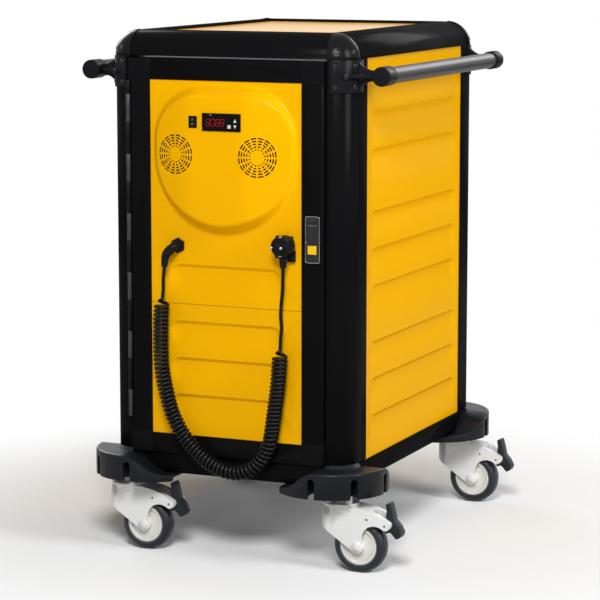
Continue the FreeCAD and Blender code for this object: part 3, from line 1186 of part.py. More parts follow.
def wheel_pieces():
    half = WHEEL_W / 2
    bore = AXLE_R + RUNNING_GAP
    boss = FORK_INNER - SIDE_GAP
    rim_half = half - 1.0
    profile = []
    for side in (1, -1):
        disc_face = rim_half - DISC_SINK
        points = [(bore, boss), (HUB_R, boss), (HUB_R + 1.5, boss - 4.0), (DISC_R - 1.2, disc_face),
                  (DISC_R - 1.2, disc_face - 1.2), (DISC_R, disc_face - 1.2), (DISC_R, rim_half), (RIM_R, rim_half)]
        points = [(r, side * y) for r, y in points]
        profile += points if side > 0 else points[::-1]
    hub = revolve_about_axle(profile)
    edge = half - 1.0
    a, b = V(RIM_R, edge, 0), V(RIM_R + 5, half, 0)
    c, d = V(WHEEL_R - 5, half - 1.5, 0), V(WHEEL_R, 0, 0)
    a2, b2, c2 = V(RIM_R, -edge, 0), V(RIM_R + 5, -half, 0), V(WHEEL_R - 5, -half + 1.5, 0)
    crown = [arc(a, V(RIM_R + 2, half - 0.2, 0), b), line(b, c),
             arc(c, V(WHEEL_R - 1.1, half * 0.52, 0), d), arc(d, V(WHEEL_R - 1.1, -half * 0.52, 0), c2),
             line(c2, b2), arc(b2, V(RIM_R + 2, -half + 0.2, 0), a2), line(a2, a)]
    tyre = Part.Face(Part.Wire(crown)).revolve(ORIGIN, Y, 360)
    for shape in (hub, tyre):
        shape.translate(V(CASTOR_TRAIL, 0, WHEEL_R))
    return hub, tyre


def pedal_piece():
    """Rocking brake pedal: an upper arm to release it, a lobed pad to press and a shoe over the tyre."""
    px, pz = PEDAL_PIN
    y = -PEDAL_HALF_W
    outline = [(-2, 38), (5, 40), (10, 22), (13, 8), (22, -2), (28, -14), (25, -22), (18, -25),
               (11, -17), (6, -13), (-1, -16), (-7, -8), (-8, 4), (-2, 12), (0, 24)]
    body = prism([(px + dx, y, pz + dz) for dx, dz in outline], V(0, 2 * PEDAL_HALF_W, 0))
    across = [e for e in body.Edges if e.BoundBox.YLength > 2 * PEDAL_HALF_W - 1e-6]
    body = body.makeFillet(PEDAL_ROUND, across)
    return body.cut(rod(PIN_R + RUNNING_GAP, V(px, -40, pz), V(px, 40, pz)))


def castors():
    fork = castor_pieces()
    hub, tyre = wheel_pieces()
    pedal = pedal_piece()
    for corner, (sx, sy) in CORNERS.items():
        groups = {"fork": fork, "hub": [hub], "tyre": [tyre], "pedal": [pedal]}
        for name, solids in groups.items():
            placed = []
            for solid in solids:
                copy = turned(solid, CASTOR_TURNS[corner], ORIGIN, Z)
                copy.translate(V(sx * CASTOR_X, sy * CASTOR_Y, 0))
                placed.append(copy)
            add(corner + "_" + name, *placed)


# ---------------------------------------------------------------- mains lead
def route_points(points):
    return [V(x, CORD_Y, z) for x, z in points]


def rounded_route(points, name):
    """Straight runs joined by tangent arcs, each as large as its two runs allow."""
    edges = []
    radii = []
    start = points[0]
    for before, corner, after in zip(points, points[1:], points[2:]):
        a, b = unit(before - corner), unit(after - corner)
        turn = math.pi - a.getAngle(b)
        shorter = min((before - corner).Length, (after - corner).Length)
        setback = 0.45 * shorter
        radius = setback / math.tan(turn / 2)
        p, q = corner + a * setback, corner + b * setback
        bisector = unit(a + b)
        centre_distance = radius / math.cos(turn / 2)
        middle = corner + bisector * (centre_distance - radius)
        edges += [line(start, p), arc(p, middle, q)]
        start = q
        radii.append(round(radius, 1))
    edges.append(line(start, points[-1]))
    print(name, "bend radii", radii)
    return edges


def tube(points, name):
    path = Part.Wire(rounded_route(points, name))
    direction = points[1] - points[0]
    ring = Part.Wire(Part.makeCircle(CORD_D / 2, points[0], direction))
    shape = path.makePipeShell([ring], True, False)
    shape = Part.Solid(Part.Shell(shape.Faces)) if shape.ShapeType != "Solid" else shape
    expected = math.pi * (CORD_D / 2) ** 2 * path.Length
    print(name, "length", round(path.Length, 1), "volume ratio", round(shape.Volume / expected, 4))
    return shape


class Route:
    """Place, direction and curvature along the middle of the curly cord."""

    def __init__(self, points):
        self.wire = Part.Wire(rounded_route(points, "coil route"))
        self.edges = self.wire.OrderedEdges
        self.length = self.wire.Length
        self.starts = []
        total = 0.0
        for edge in self.edges:
            self.starts.append(total)
            total += edge.Length

    def at(self, s):
        s = min(max(s, 0.0), self.length)
        index = max(k for k, start in enumerate(self.starts) if start <= s + 1e-9)
        edge = self.edges[index]
        parameter = edge.getParameterByLength(min(s - self.starts[index], edge.Length))
        curved = 0.0 if "Line" in edge.Curve.TypeId else 1.0 / edge.Curve.Radius
        return edge.valueAt(parameter), unit(edge.tangentAt(parameter)), curved


def biarc(p0, t0, p1, t1):
    """Two arcs that leave p0 along t0 and reach p1 along t1."""
    v = p1 - p0
    t = t0 + t1
    k = 2 * (1 - t0.dot(t1))
    vt = v.dot(t)
    d = (math.sqrt(vt * vt + k * v.dot(v)) - vt) / k
    joint = (p0 + t0 * d + p1 - t1 * d) * 0.5
    return [tangent_arc(p0, p0 + t0 * d, joint), tangent_arc(joint, p1 - t1 * d, p1)]


def tangent_arc(start, corner, end):
    middle = (start + end) * 0.5
    half_chord = (end - start).Length / 2
    height = (corner - middle).Length
    bow = half_chord * math.tan(math.atan2(height, half_chord) / 2)
    return arc(start, middle + unit(corner - middle) * bow, end)


def coil():
    """Curly cord: one unbroken helix round the route, opened at both ends into the straight lead."""
    route = Route(route_points(COIL_POINTS))
    ramp = 1.0

    samples = []
    s = CORD_D
    phase = 0.0
    step = 1.0 / 48
    samples.append((s, phase))
    while s < route.length - CORD_D:
        bend = sum(route.at(s + k * 6.0)[2] for k in (-2, -1, 0, 1, 2)) / 5
        left = (route.length - CORD_D - s)
        pitch = (CORD_D + COIL_GAP) / (1 - COIL_R * bend)
        if phase < ramp or left < 2.2 * CORD_D:
            pitch = 2.2 * CORD_D
        s += pitch * step
        phase += step
        samples.append((s, phase))
    curls = round(phase * 2) / 2
    stretch_s = (route.length - 2 * CORD_D) / (samples[-1][0] - CORD_D)
    stretch_phase = curls / samples[-1][1]
    samples = [(CORD_D + (a - CORD_D) * stretch_s, b * stretch_phase) for a, b in samples]

    def place(phase):
        index = min(int(phase / (step * stretch_phase)), len(samples) - 2)
        (s0, f0), (s1, f1) = samples[index], samples[index + 1]
        along = s0 + (s1 - s0) * (phase - f0) / (f1 - f0)
        centre, ahead, bend = route.at(along)
        opening = min(phase, curls - phase, ramp) / ramp
        radius = COIL_R * opening * opening * (3 - 2 * opening)
        across = unit(ahead.cross(Y))
        angle = 2 * math.pi * phase
        return centre + (across * math.cos(angle) - Y * math.sin(angle)) * radius

    def heading(phase):
        delta = 1e-4
        low, high = max(phase - delta, 0.0), min(phase + delta, curls)
        return unit(place(high) - place(low))

    start, end = place(0.0), place(curls)
    first, last = route.at(0.0)[1], route.at(route.length)[1]
    edges = [line(route.at(0.0)[0], start)]
    steps = int(curls * 4)
    knots = [curls * k / steps for k in range(steps + 1)]
    headings = [heading(k) for k in knots]
    headings[0], headings[-1] = first, last
    for k in range(steps):
        edges += biarc(place(knots[k]), headings[k], place(knots[k + 1]), headings[k + 1])
    edges.append(line(end, route.at(route.length)[0]))
    path = Part.Wire(edges)
    ring = Part.Wire(Part.makeCircle(CORD_D / 2, route.at(0.0)[0], first))
    shape = path.makePipeShell([ring], True, False)
    per_turn = 24
    points = [place(k / per_turn) for k in range(int(curls * per_turn))]
    gap = min((points[i] - points[j]).Length
              for i in range(len(points))
              for j in range(i + per_turn // 2, min(i + per_turn * 2, len(points)))) - CORD_D
    expected = math.pi * (CORD_D / 2) ** 2 * path.Length
    print("coil curls", curls, "cord length", round(path.Length), "least gap", round(gap, 2),
          "volume ratio", round(shape.Volume / expected, 4), "valid", shape.isValid())
    return shape


def mains_lead():
    add("cord_lead", tube(route_points(LEAD_POINTS), "lead"))
    add("cord_coil", coil())
    add("cord_tail", tube(route_points(TAIL_POINTS), "tail"))
    add("cord_gland", *gland())
    plug()


def hexagon(radius, centre, direction, depth):
    angles = [math.radians(60 * k + 30) for k in range(6)]
    points = [centre + V(math.cos(a), 0, math.sin(a)) * radius for a in angles]
    return Part.Face(Part.makePolygon(points + points[:1])).extrude(direction * depth)


def gland():
    """Hexagon nut, elbow and ribbed boot, which is bent down towards the lead."""
    root = V(GLAND_X, SKIN_FACE, GLAND_Z)
    nut = hexagon(GLAND_HEX_AF / math.sqrt(3), root, V(0, -1, 0), GLAND_HEX_T)
    tip = V(LEAD_POINTS[0][0], CORD_Y, LEAD_POINTS[0][1])
    lead_way = unit(V(LEAD_POINTS[0][0] - LEAD_POINTS[1][0], 0, LEAD_POINTS[0][1] - LEAD_POINTS[1][1]))
    elbow = V(GLAND_X, CORD_Y + 5, GLAND_Z)
    neck = rod(GLAND_NECK_R, root, elbow)
    ball = Part.makeSphere(GLAND_NECK_R, elbow)
    bend = tip + lead_way * 20
    rise = cone(BOOT_R, BOOT_R - 0.8, elbow, bend)
    knee = Part.makeSphere(BOOT_R - 0.8, bend)
    drop = cone(BOOT_R - 0.8, BOOT_TIP_R, bend, tip)
    rings = []
    for k in range(1, BOOT_RIBS + 1):
        t = k / (BOOT_RIBS + 1)
        place = tip + lead_way * 20 * t
        radius = BOOT_TIP_R + (BOOT_R - BOOT_TIP_R) * t + 0.8
        rings.append(rod(radius, place - lead_way * 0.8, place + lead_way * 0.8))
    up = unit(elbow - bend)
    reach = (elbow - bend).Length
    for k in range(1, BOOT_RIBS - 1):
        place = bend + up * reach * k / BOOT_RIBS
        rings.append(rod(BOOT_R + 0.8, place - up * 0.8, place + up * 0.8))
    boot = fuse(neck, ball, rise, knee, drop, *rings)
    return [nut.cut(neck), boot]


def plug():
    """Round two-pin plug with side earth contacts, parked on its holder with the pins outwards."""
    at = V(PLUG_X, PLUG_BACK, PLUG_Z)
    body = rod(PLUG_R, at, V(PLUG_X, PLUG_FACE, PLUG_Z))
    rims = [e for e in body.Edges if e.BoundBox.YLength < 1e-6]
    body = body.makeFillet(2.0, rims)
    neck_top = V(PLUG_X, CORD_Y, PLUG_Z - PLUG_R + 3)
    end = V(TAIL_POINTS[-1][0], CORD_Y, TAIL_POINTS[-1][1])
    neck = cone(PLUG_NECK_R, PLUG_NECK_TIP_R, neck_top, end)
    shoulder = cone(PLUG_NECK_R + 3, PLUG_NECK_R, neck_top + Z * 4, neck_top - Z * 6)
    rings = []
    for k in range(3):
        z = end.z + 3 + 3.4 * k
        rings.append(rod(PLUG_NECK_TIP_R + 0.9 + 0.3 * k, V(end.x, CORD_Y, z), V(end.x, CORD_Y, z + 1.6)))
    body = fuse(body, neck, shoulder, *rings)
    clips = []
    for side in (-1, 1):
        z0 = PLUG_Z + side * PLUG_R
        body = body.cut(box(PLUG_X - PLUG_CLIP_W, PLUG_X + PLUG_CLIP_W, PLUG_FACE - 1, PLUG_FACE + 14,
                            z0 - PLUG_CLIP_DEPTH, z0 + PLUG_CLIP_DEPTH))
        inner = z0 - side * PLUG_CLIP_DEPTH
        low, high = sorted((inner, inner + side * 1.0))
        half = PLUG_CLIP_W - 2
        clips.append(box(PLUG_X - half, PLUG_X + half, PLUG_FACE, PLUG_FACE + 13.7, low, high))
    pins = []
    for side in (-1, 1):
        x = PLUG_X + side * PLUG_PIN_SPACING / 2
        pin = rod(PLUG_PIN_R, V(x, PLUG_FACE, PLUG_Z), V(x, PLUG_FACE - PLUG_PIN_LENGTH, PLUG_Z))
        rim = [e for e in pin.Edges if e.BoundBox.YMax < PLUG_FACE - PLUG_PIN_LENGTH + 1e-6]
        pins.append(pin.makeFillet(1.0, rim))
    add("plug", body, *clips, *pins)
    plate = box(PLUG_X - 22, PLUG_X + 12, PLUG_BACK, SKIN_FACE, PLUG_Z - 24, PLUG_Z + 8)
    ears = []
    for x0 in (PLUG_X - 22, PLUG_X + 5):
        ears.append(prism([(x0, PLUG_BACK, PLUG_Z + 8), (x0 + 7, PLUG_BACK, PLUG_Z + 8),
                           (x0 + 5.5, PLUG_BACK, PLUG_Z + 16), (x0 + 1.5, PLUG_BACK, PLUG_Z + 16)],
                          V(0, SKIN_FACE - PLUG_BACK, 0)))
    tab = box(PLUG_X + 2, PLUG_X + 16, PLUG_BACK, SKIN_FACE, PLUG_Z - 30, PLUG_Z - 10)
    add("plug_holder", fuse(plate, tab, *ears))


# ---------------------------------------------------------------- heater
def heater():
    """Sheathed heating element bent into a flat serpentine inside the door, on two clips."""
    back = DOOR_BACK - INNER_SKIN_T
    y = back - HEATER_DEPTH
    x = HEATER_HALF_W
    low = DOOR_BOTTOM + HEATER_RISE
    edges = []
    for k in range(HEATER_RUNS):
        side = 1 if k % 2 == 0 else -1
        z = low + HEATER_PITCH * k
        edges.append(line(V(-side * x, y, z), V(side * x, y, z)))
        if k < HEATER_RUNS - 1:
            turn = V(side * (x + HEATER_PITCH / 2), y, z + HEATER_PITCH / 2)
            edges.append(arc(V(side * x, y, z), turn, V(side * x, y, z + HEATER_PITCH)))
    path = Part.Wire(edges)
    ring = Part.Wire(Part.makeCircle(HEATER_R, V(-x, y, low), X))
    element = path.makePipeShell([ring], True, False)
    high = low + HEATER_PITCH * (HEATER_RUNS - 1)
    clips = []
    for cx in (-HEATER_CLIP_X, HEATER_CLIP_X):
        clip = box(cx - HEATER_CLIP_W / 2, cx + HEATER_CLIP_W / 2, y, back, low - 12, high + 12)
        clips.append(clip.cut(element))
    add("heating_element", element, *clips)


# ---------------------------------------------------------------- build
posts()
frame_rails()
screw_heads = corner_caps()
side_panels()
top_panel()
inner_box()
tray_racks()
door_frame()
door_skins()
fans()
controls()
latch()
hinge()
screw_heads += push_bars()
add("frame_screws", *screw_heads)
bumpers()
castors()
heater()
mains_lead()

os.makedirs("parts", exist_ok=True)
for name, solids in nodes.items():
    flat = [s for item in solids for s in item.Solids]
    shape = flat[0] if len(flat) == 1 else Part.makeCompound(flat)
    bad = [s for s in flat if not s.isValid() or s.Volume <= 0]
    print(name, len(flat), "solids", round(shape.Volume / 1000, 1), "cm3", "INVALID" if bad else "")
    shape.exportStep("parts/" + name + ".step")
print(len(nodes), "nodes")
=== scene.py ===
"""Looks of a hostess trolley: finishes of every piece, the curly mains lead, fittings and the studio."""
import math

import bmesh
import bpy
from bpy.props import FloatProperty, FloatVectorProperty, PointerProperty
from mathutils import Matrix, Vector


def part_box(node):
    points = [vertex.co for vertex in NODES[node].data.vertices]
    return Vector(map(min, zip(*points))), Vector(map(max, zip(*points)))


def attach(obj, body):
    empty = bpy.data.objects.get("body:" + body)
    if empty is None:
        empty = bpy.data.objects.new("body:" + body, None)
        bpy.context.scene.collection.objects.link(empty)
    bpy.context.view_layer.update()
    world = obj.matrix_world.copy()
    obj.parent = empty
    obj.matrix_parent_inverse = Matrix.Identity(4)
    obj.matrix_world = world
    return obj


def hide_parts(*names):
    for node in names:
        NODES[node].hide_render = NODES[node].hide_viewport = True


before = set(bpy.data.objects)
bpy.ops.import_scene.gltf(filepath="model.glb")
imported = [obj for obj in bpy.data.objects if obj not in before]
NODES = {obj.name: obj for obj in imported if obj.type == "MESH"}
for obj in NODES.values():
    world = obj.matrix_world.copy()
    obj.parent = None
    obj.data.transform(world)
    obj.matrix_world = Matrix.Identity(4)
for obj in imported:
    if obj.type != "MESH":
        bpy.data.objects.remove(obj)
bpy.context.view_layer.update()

bl_info = {
    "name": "Hostess trolley",
    "version": (1, 1, 0),
    "blender": (4, 5, 0),
    "location": "View3D > Sidebar > Trolley",
    "description": "Finishes, mains lead and fittings of a heated hostess trolley",
    "category": "Object",
}

# ---------------------------------------------------------------- places and sizes, in metres
CORNERS = {"front_left": (-1, -1), "front_right": (1, -1), "rear_left": (-1, 1), "rear_right": (1, 1)}
POST_CENTRE = Vector((0.194, 0.2825, 0.0))
RAIL_Z = 0.922
BAR_Z = 0.893
CAP_R = 0.0462
BOSS_TOP_R = 0.052
BRACKET_R = 0.048

# Screws of a corner: azimuths, rise, radius of the seat, heights, radius of the head, share of the height
SCREWS = (
    ((24.0, 66.0), 16.0, CAP_R - 0.0009, (RAIL_Z,), 0.0042, 1.05),
    ((48.0,), 0.0, BOSS_TOP_R - 0.001, (BAR_Z,), 0.0044, 1.4),
    ((22.0, 70.0), 0.0, BRACKET_R - 0.001, (BAR_Z - 0.0195, BAR_Z + 0.0175), 0.0047, 1.4),
)
# The head's outline and its cross, painted darker as the shade of a recess, in shares of its radius and
# height
HEAD_PROFILE = ((0.0, 0.0), (1.0, 0.0), (1.0, 0.55), (0.88, 0.82), (0.6, 0.95), (0.0, 1.0))
CROSS_LENGTH = 1.05
CROSS_WIDTH = 0.22
CROSS_DEPTH = 0.2
CROSS_HEIGHT = 0.92

DISPLAY_MIDDLE = Vector((0.0042, 0.0, 0.8082))
WINDOW = (-0.0307, 0.0078, -0.0092, 0.0078)      # left, right, bottom, top from the display's middle
WINDOW_ROUND = 0.0006
WINDOW_SINK = 0.0002
WINDOW_DEPTH = 0.0004
DIGITS = "8088"
DIGIT_PARTS = {"8": "abcdefg", "0": "abcdef"}
DIGIT_H = 0.0125
DIGIT_W = 0.0066
DIGIT_PITCH = 0.0094
DIGIT_SLANT = 0.12
DIGIT_PROUD = 0.0003
SEGMENT_R = 0.00058
SEGMENT_GAP = 0.0009
INDICATOR_X = -0.0162
INDICATOR_Z = 0.8208
INDICATOR_PROFILE = ((0.0, 0.0006), (0.0009, 0.0005), (0.0012, 0.0), (0.0012, -0.0003))
ON_MARK = (-0.0004, 0.0004, 0.0025, 0.0060)      # left, right, bottom, top from the rocker's middle
ON_MARK_SINK = 0.0009
ON_MARK_DEPTH = 0.0004
OFF_MARK_DROP = 0.0045
OFF_MARK_SINK = 0.0012
OFF_MARK_PROFILE = ((0.0012, 0.0), (0.0018, 0.0), (0.0018, 0.0004), (0.0012, 0.0004), (0.0012, 0.0))

GRILLES = (((-0.0885, 0.0, 0.748), 0.0385), ((0.0706, 0.0, 0.747), 0.0385))     # middle and radius

LATCH_TOP = 0.6455
LATCH_SIZE = (0.028, 0.084)
RIM_MARGIN = 0.0002
RIM_ROUND = 0.0038
RIM_WIDTH = 0.0008
RIM_SINK = 0.0004
RIM_DEPTH = 0.0007
GROOVE = (-0.0085, 0.0085, -0.0170, -0.0163)     # left, right, bottom, top from the middle of the latch's top
GROOVE_PROUD = 0.0001
GROOVE_DEPTH = 0.0006
LATCH_PIN_IN = 0.0022
LATCH_PIN_DROP = 0.0465
LATCH_PIN_PROFILE = ((0.0, 0.0006), (0.0008, 0.0005), (0.0011, 0.0))

CORD_Y = -0.354
LEAD_POINTS = ((-0.1135, 0.543), (-0.1145, 0.530), (-0.1165, 0.517), (-0.1155, 0.504), (-0.117, 0.492))
COIL_POINTS = (
    (-0.117, 0.492), (-0.1205, 0.466), (-0.1215, 0.430), (-0.122, 0.392), (-0.1205, 0.354),
    (-0.112, 0.312), (-0.0995, 0.270), (-0.076, 0.229), (-0.042, 0.195), (-0.002, 0.174),
    (0.038, 0.1715), (0.074, 0.191), (0.096, 0.226), (0.102, 0.268), (0.1085, 0.310),
    (0.1135, 0.350), (0.1155, 0.384), (0.117, 0.412),
)
TAIL_POINTS = ((0.117, 0.412), (0.1175, 0.428), (0.120, 0.445), (0.1175, 0.464), (0.1185, 0.486),
               (0.1215, 0.509), (0.122, 0.532), (0.1225, 0.553))
ROUTES = {"lead_route": LEAD_POINTS, "coil_route": COIL_POINTS, "tail_route": TAIL_POINTS}
CURLS = 82.5
POINTS_PER_CURL = 18
END_PITCH = 2.2                                  # of the first and last curls, in diameters of the cord

GLAND = Vector((-0.095, -0.3335, 0.580))
NUT_R = 0.0144
NUT_DEPTH = 0.005
NUT_ROUND = 0.0008
BOOT_POINTS = ((-0.095, -0.337, 0.580), (-0.095, -0.345, 0.580), (-0.0955, -0.3525, 0.5795),
               (-0.101, -0.3545, 0.574), (-0.1105, -0.354, 0.5655), (-0.1128, -0.354, 0.554),
               (-0.1135, -0.354, 0.543))
BOOT_R = 0.0082
BOOT_TIP_R = 0.0053
BOOT_TAPER_FROM = 0.45                           # as a share of the boot's length
BOOT_RIBS_FROM = 0.34
BOOT_RIB = 0.0009
BOOT_RIB_PITCH = 0.0043
BOOT_RIB_FULLNESS = 0.6

HUB_RIM_R = 0.0352
HUB_GROOVE_SHADE = (0.0342, 0.0360, 0.0003)            # inner radius, outer radius and softness of the painted shade in the hub's groove
PIN_HEIGHT = 0.030                               # a fork's axle and pins are lower than this
PLUG_PIN_WIDTH = 0.02                            # a plug's pins and contacts are no wider than this

CREASE = 32.0                                    # degrees from which an edge is sharp
PRESSED_CREASE = 24.0
ROUND_CREASE = 60.0
WELD = 0.000002
LATHE_WELD = 0.000001
TUBE_WELD = 0.0000005

# ---------------------------------------------------------------- studio
WHITE = (1.0, 1.0, 1.0)
LAMPS = {                                        # place, target, size, watts
    "key_softbox": ((1.25, -3.3, 2.95), (0.0, -0.2, 0.55), (1.1, 1.1), 112.0),
    "right_softbox": ((3.1, -0.9, 2.0), (0.1, 0.0, 0.55), (1.0, 1.4), 48.0),
    "left_softbox": ((-2.5, 1.7, 2.2), (-0.1, 0.1, 0.55), (1.4, 1.4), 66.0),
    "back_softbox": ((0.9, 2.8, 2.2), (0.0, 0.2, 0.55), (1.4, 1.4), 34.0),
}
SKY = (0.95, 0.97, 1.0)
SKY_STRENGTH = 0.13
FLOOR_HALF = 14.0
FLOOR_FADE = (0.42, 1.1)                         # the floor turns white between these distances
FLOOR_TONES = (0.76, 0.79)
CAMERA_PLACE = (1.90233, -4.35029, 1.16232)
CAMERA_DIP = 0.15131                             # radians
CAMERA_TURN = 0.41213
CAMERA_LENS = 149.05                             # millimetres
CAMERA_SENSOR = 36.0
CAMERA_FAR = 60.0


# ---------------------------------------------------------------- what a user would change
class TrolleyColours(bpy.types.PropertyGroup):
    """Colours of the trolley's finishes."""

    yellow: FloatVectorProperty(name="Panel yellow", description="Powder coat of the sheet panels",
                                subtype="COLOR", default=(0.97, 0.475, 0.0), min=0, max=1)
    black: FloatVectorProperty(name="Frame black", description="Coat of the posts, rails and door frame",
                               subtype="COLOR", default=(0.0045, 0.0045, 0.0052), min=0, max=1)
    bumper: FloatVectorProperty(name="Bumper", description="Moulded corner bumpers",
                                subtype="COLOR", default=(0.010, 0.011, 0.014), min=0, max=1)
    castor: FloatVectorProperty(name="Castor white", description="Moulded forks and mounts of the castors",
                                subtype="COLOR", default=(0.93, 0.93, 0.91), min=0, max=1)
    hub: FloatVectorProperty(name="Wheel hub", description="Moulded wheel hubs",
                             subtype="COLOR", default=(0.85, 0.85, 0.78), min=0, max=1)
    tyre: FloatVectorProperty(name="Tyre", description="Grey rubber of the tyres",
                              subtype="COLOR", default=(0.022, 0.028, 0.036), min=0, max=1)


class TrolleySizes(bpy.types.PropertyGroup):
    """Sizes of the pieces that are made here."""

    cord_diameter: FloatProperty(name="Cord", description="Diameter of the mains lead", default=0.0066,
                                 min=0.004, max=0.012, unit="LENGTH")
    coil_diameter: FloatProperty(name="Coil", description="Outer diameter of the curly part",
                                 default=0.0295, min=0.015, max=0.05, unit="LENGTH")
    coil_gap: FloatProperty(name="Coil gap", description="Gap between two curls", default=0.00075,
                            min=0.0004, max=0.004, unit="LENGTH")
    screw_height: FloatProperty(name="Screw head", description="Height of the domed screw heads",
                                default=0.0016, min=0.0005, max=0.004, unit="LENGTH")
    edge_round: FloatProperty(name="Edge round", description="Rounding of the moulded and extruded edges",
                              default=0.0006, min=0.0001, max=0.002, unit="LENGTH")


# ---------------------------------------------------------------- shader maths
class Wire:
    """A shader socket that takes part in Python arithmetic."""

    def __init__(self, nodes, socket):
        self.nodes = nodes
        self.socket = socket

    def _math(self, operation, first, second):
        return self.nodes.add("ShaderNodeMath", {"operation": operation}, {0: first, 1: second})

    def __add__(self, other):
        return self._math("ADD", self, other)

    def __sub__(self, other):
        return self._math("SUBTRACT", self, other)

    def __rsub__(self, other):
        return self._math("SUBTRACT", other, self)

    def __mul__(self, other):
        return self._math("MULTIPLY", self, other)

    def __gt__(self, other):
        return self._math("GREATER_THAN", self, other)

    def __lt__(self, other):
        return self._math("LESS_THAN", self, other)

    __radd__ = __add__
    __rmul__ = __mul__


class Nodes:
    """Adds shader nodes to a tree, each with its settings and inputs in one call."""

    def __init__(self, tree):
        self.tree = tree
        tree.nodes.clear()

    def add(self, kind, settings=None, inputs=None, output=0):
        """A node of a kind. Returns its output, by name or number, where it has one."""
        node = self.tree.nodes.new(kind)
        for key, value in (settings or {}).items():
            setattr(node, key, value)
        for key, value in (inputs or {}).items():
            socket = node.inputs[key]
            if isinstance(value, Wire):
                self.tree.links.new(value.socket, socket)
            elif socket.type == "RGBA" and len(value) == 3:
                socket.default_value = (*value, 1.0)
            else:
                socket.default_value = value
        return Wire(self, node.outputs[output]) if len(node.outputs) else None


class Finish(Nodes):
    """A node material that is written as expressions."""

    def __init__(self, name):
        self.material = bpy.data.materials.new(name)
        self.material.use_nodes = True
        super().__init__(self.material.node_tree)

    def place(self, scale=(1.0, 1.0, 1.0)):
        """Object coordinates, stretched by scale."""
        here = self.add("ShaderNodeTexCoord", output="Object")
        return self.add("ShaderNodeMapping", inputs={"Vector": here, "Scale": scale})

    def noise(self, place, scale, detail=3.0, roughness=0.55):
        values = {"Vector": place, "Scale": scale, "Detail": detail, "Roughness": roughness}
        return self.add("ShaderNodeTexNoise", inputs=values, output="Fac")

    def mix(self, factor, first, second):
        """A colour between first and second."""
        values = {0: factor, 6: first, 7: second}
        return self.add("ShaderNodeMix", {"data_type": "RGBA"}, values, output=2)

    def vary(self, pattern, colour, less, more):
        """A colour whose brightness follows a pattern, from a factor of less to one of more."""
        return self.mix(pattern, shade(colour, less), shade(colour, more))

    def around(self, middle, pattern, spread):
        """A number that follows a pattern round its middle, by spread in all."""
        return (pattern - 0.5) * spread + middle

    def off_axis(self, place, centre, axis):
        """Distance of place from a line through centre along axis."""
        arm = self.add("ShaderNodeVectorMath", {"operation": "SUBTRACT"}, {0: place, 1: centre})
        across = self.add("ShaderNodeVectorMath", {"operation": "CROSS_PRODUCT"}, {0: arm, 1: axis})
        return self.add("ShaderNodeVectorMath", {"operation": "LENGTH"}, {0: across}, 1)

    def step(self, value, edge, soft):
        """0 below an edge and 1 above it, with a soft change."""
        values = {"Value": value, "From Min": edge - soft, "From Max": edge + soft}
        return self.add("ShaderNodeMapRange", inputs=values)

    def band(self, value, low, high, soft):
        """1 where value lies between low and high, with soft edges."""
        return self.step(value, low, soft) * (1.0 - self.step(value, high, soft))

    def bump(self, height, distance):
        values = {"Height": height, "Distance": distance, "Strength": 1.0}
        return self.add("ShaderNodeBump", inputs=values, output="Normal")

    def surface(self, colour, roughness, normal=None, metallic=0.0, **fixed):
        """Principled surface. fixed holds constant sockets, with _ for a space in their names."""
        values = {"Base Color": colour, "Roughness": roughness, "Metallic": metallic}
        if normal is not None:
            values["Normal"] = normal
        values.update({key.replace("_", " "): value for key, value in fixed.items()})
        shader = self.add("ShaderNodeBsdfPrincipled", inputs=values)
        self.add("ShaderNodeOutputMaterial", inputs={"Surface": shader})
        return self.material


def shade(colour, factor):
    return tuple(min(1.0, c * factor) for c in colour)


# ---------------------------------------------------------------- finishes
def powder_coat(name, colour, roughness, spread=0.015, gloss=0.12, grilles=()):
    """Baked powder coat: orange peel, slow drift of tone, uneven gloss, and painted shade on the slot walls
    in the grilles.
    """
    f = Finish(name)
    place = f.place()
    drift = f.noise(place, scale=5.0, detail=2.0)
    patches = f.noise(place, scale=38.0, detail=5.0)
    skin = f.noise(place, scale=900.0, detail=2.0)
    tone = f.vary(drift, colour, 1 - spread, 1 + spread)
    if grilles:
        normal = f.add("ShaderNodeTexCoord", output="Normal")
        facing = f.add("ShaderNodeSeparateXYZ", inputs={"Vector": normal}, output="Y")
        inside = sum(f.off_axis(place, centre, (0.0, 1.0, 0.0)) < radius for centre, radius in grilles)
        # Painted shade: slot walls inside a grille that face sideways are mixed towards dark brown.
        slot_shade = (facing * facing < 0.5) * inside
        tone = f.mix(slot_shade * 0.9, tone, (0.05, 0.022, 0.002))
    return f.surface(tone, f.around(roughness, patches, 0.10), f.bump(skin, 0.00003),
                     Specular_IOR_Level=0.0, Coat_Weight=gloss, Coat_Roughness=roughness * 0.6)


def moulded(name, colour, roughness, grain, depth, gloss, spread=0.08):
    """Moulded plastic with a fine spark-eroded grain and light handling marks."""
    f = Finish(name)
    place = f.place()
    cells = f.add("ShaderNodeTexVoronoi", {"feature": "F1"}, {"Vector": place, "Scale": grain}, "Distance")
    marks = f.noise(place, scale=24.0, detail=6.0, roughness=0.65)
    tone = f.vary(marks, colour, 1 - spread, 1 + spread)
    return f.surface(tone, f.around(roughness, marks, 0.16), f.bump(cells, depth),
                     Specular_IOR_Level=gloss * 0.1, Coat_Weight=gloss, Coat_Roughness=roughness * 0.7)


def wheel_hub(name, colour, centre, axis):
    """Hub with a cream disc, painted shade in the thin groove round it, and a paler rim."""
    f = Finish(name)
    place = f.place()
    radius = f.off_axis(place, centre, axis)
    marks = f.noise(place, scale=30.0, detail=5.0, roughness=0.6)
    disc = f.vary(marks, colour, 0.97, 1.02)
    rim = f.mix(marks, (0.86, 0.87, 0.88), (0.92, 0.93, 0.94))
    tone = f.mix(radius > HUB_RIM_R, disc, rim)
    # Painted shade: a thin dark band where the groove lies between disc and rim.
    tone = f.mix(f.band(radius, *HUB_GROOVE_SHADE) * 0.75, tone, (0.10, 0.10, 0.09))
    return f.surface(tone, f.around(0.42, marks, 0.14), Specular_IOR_Level=0.25)


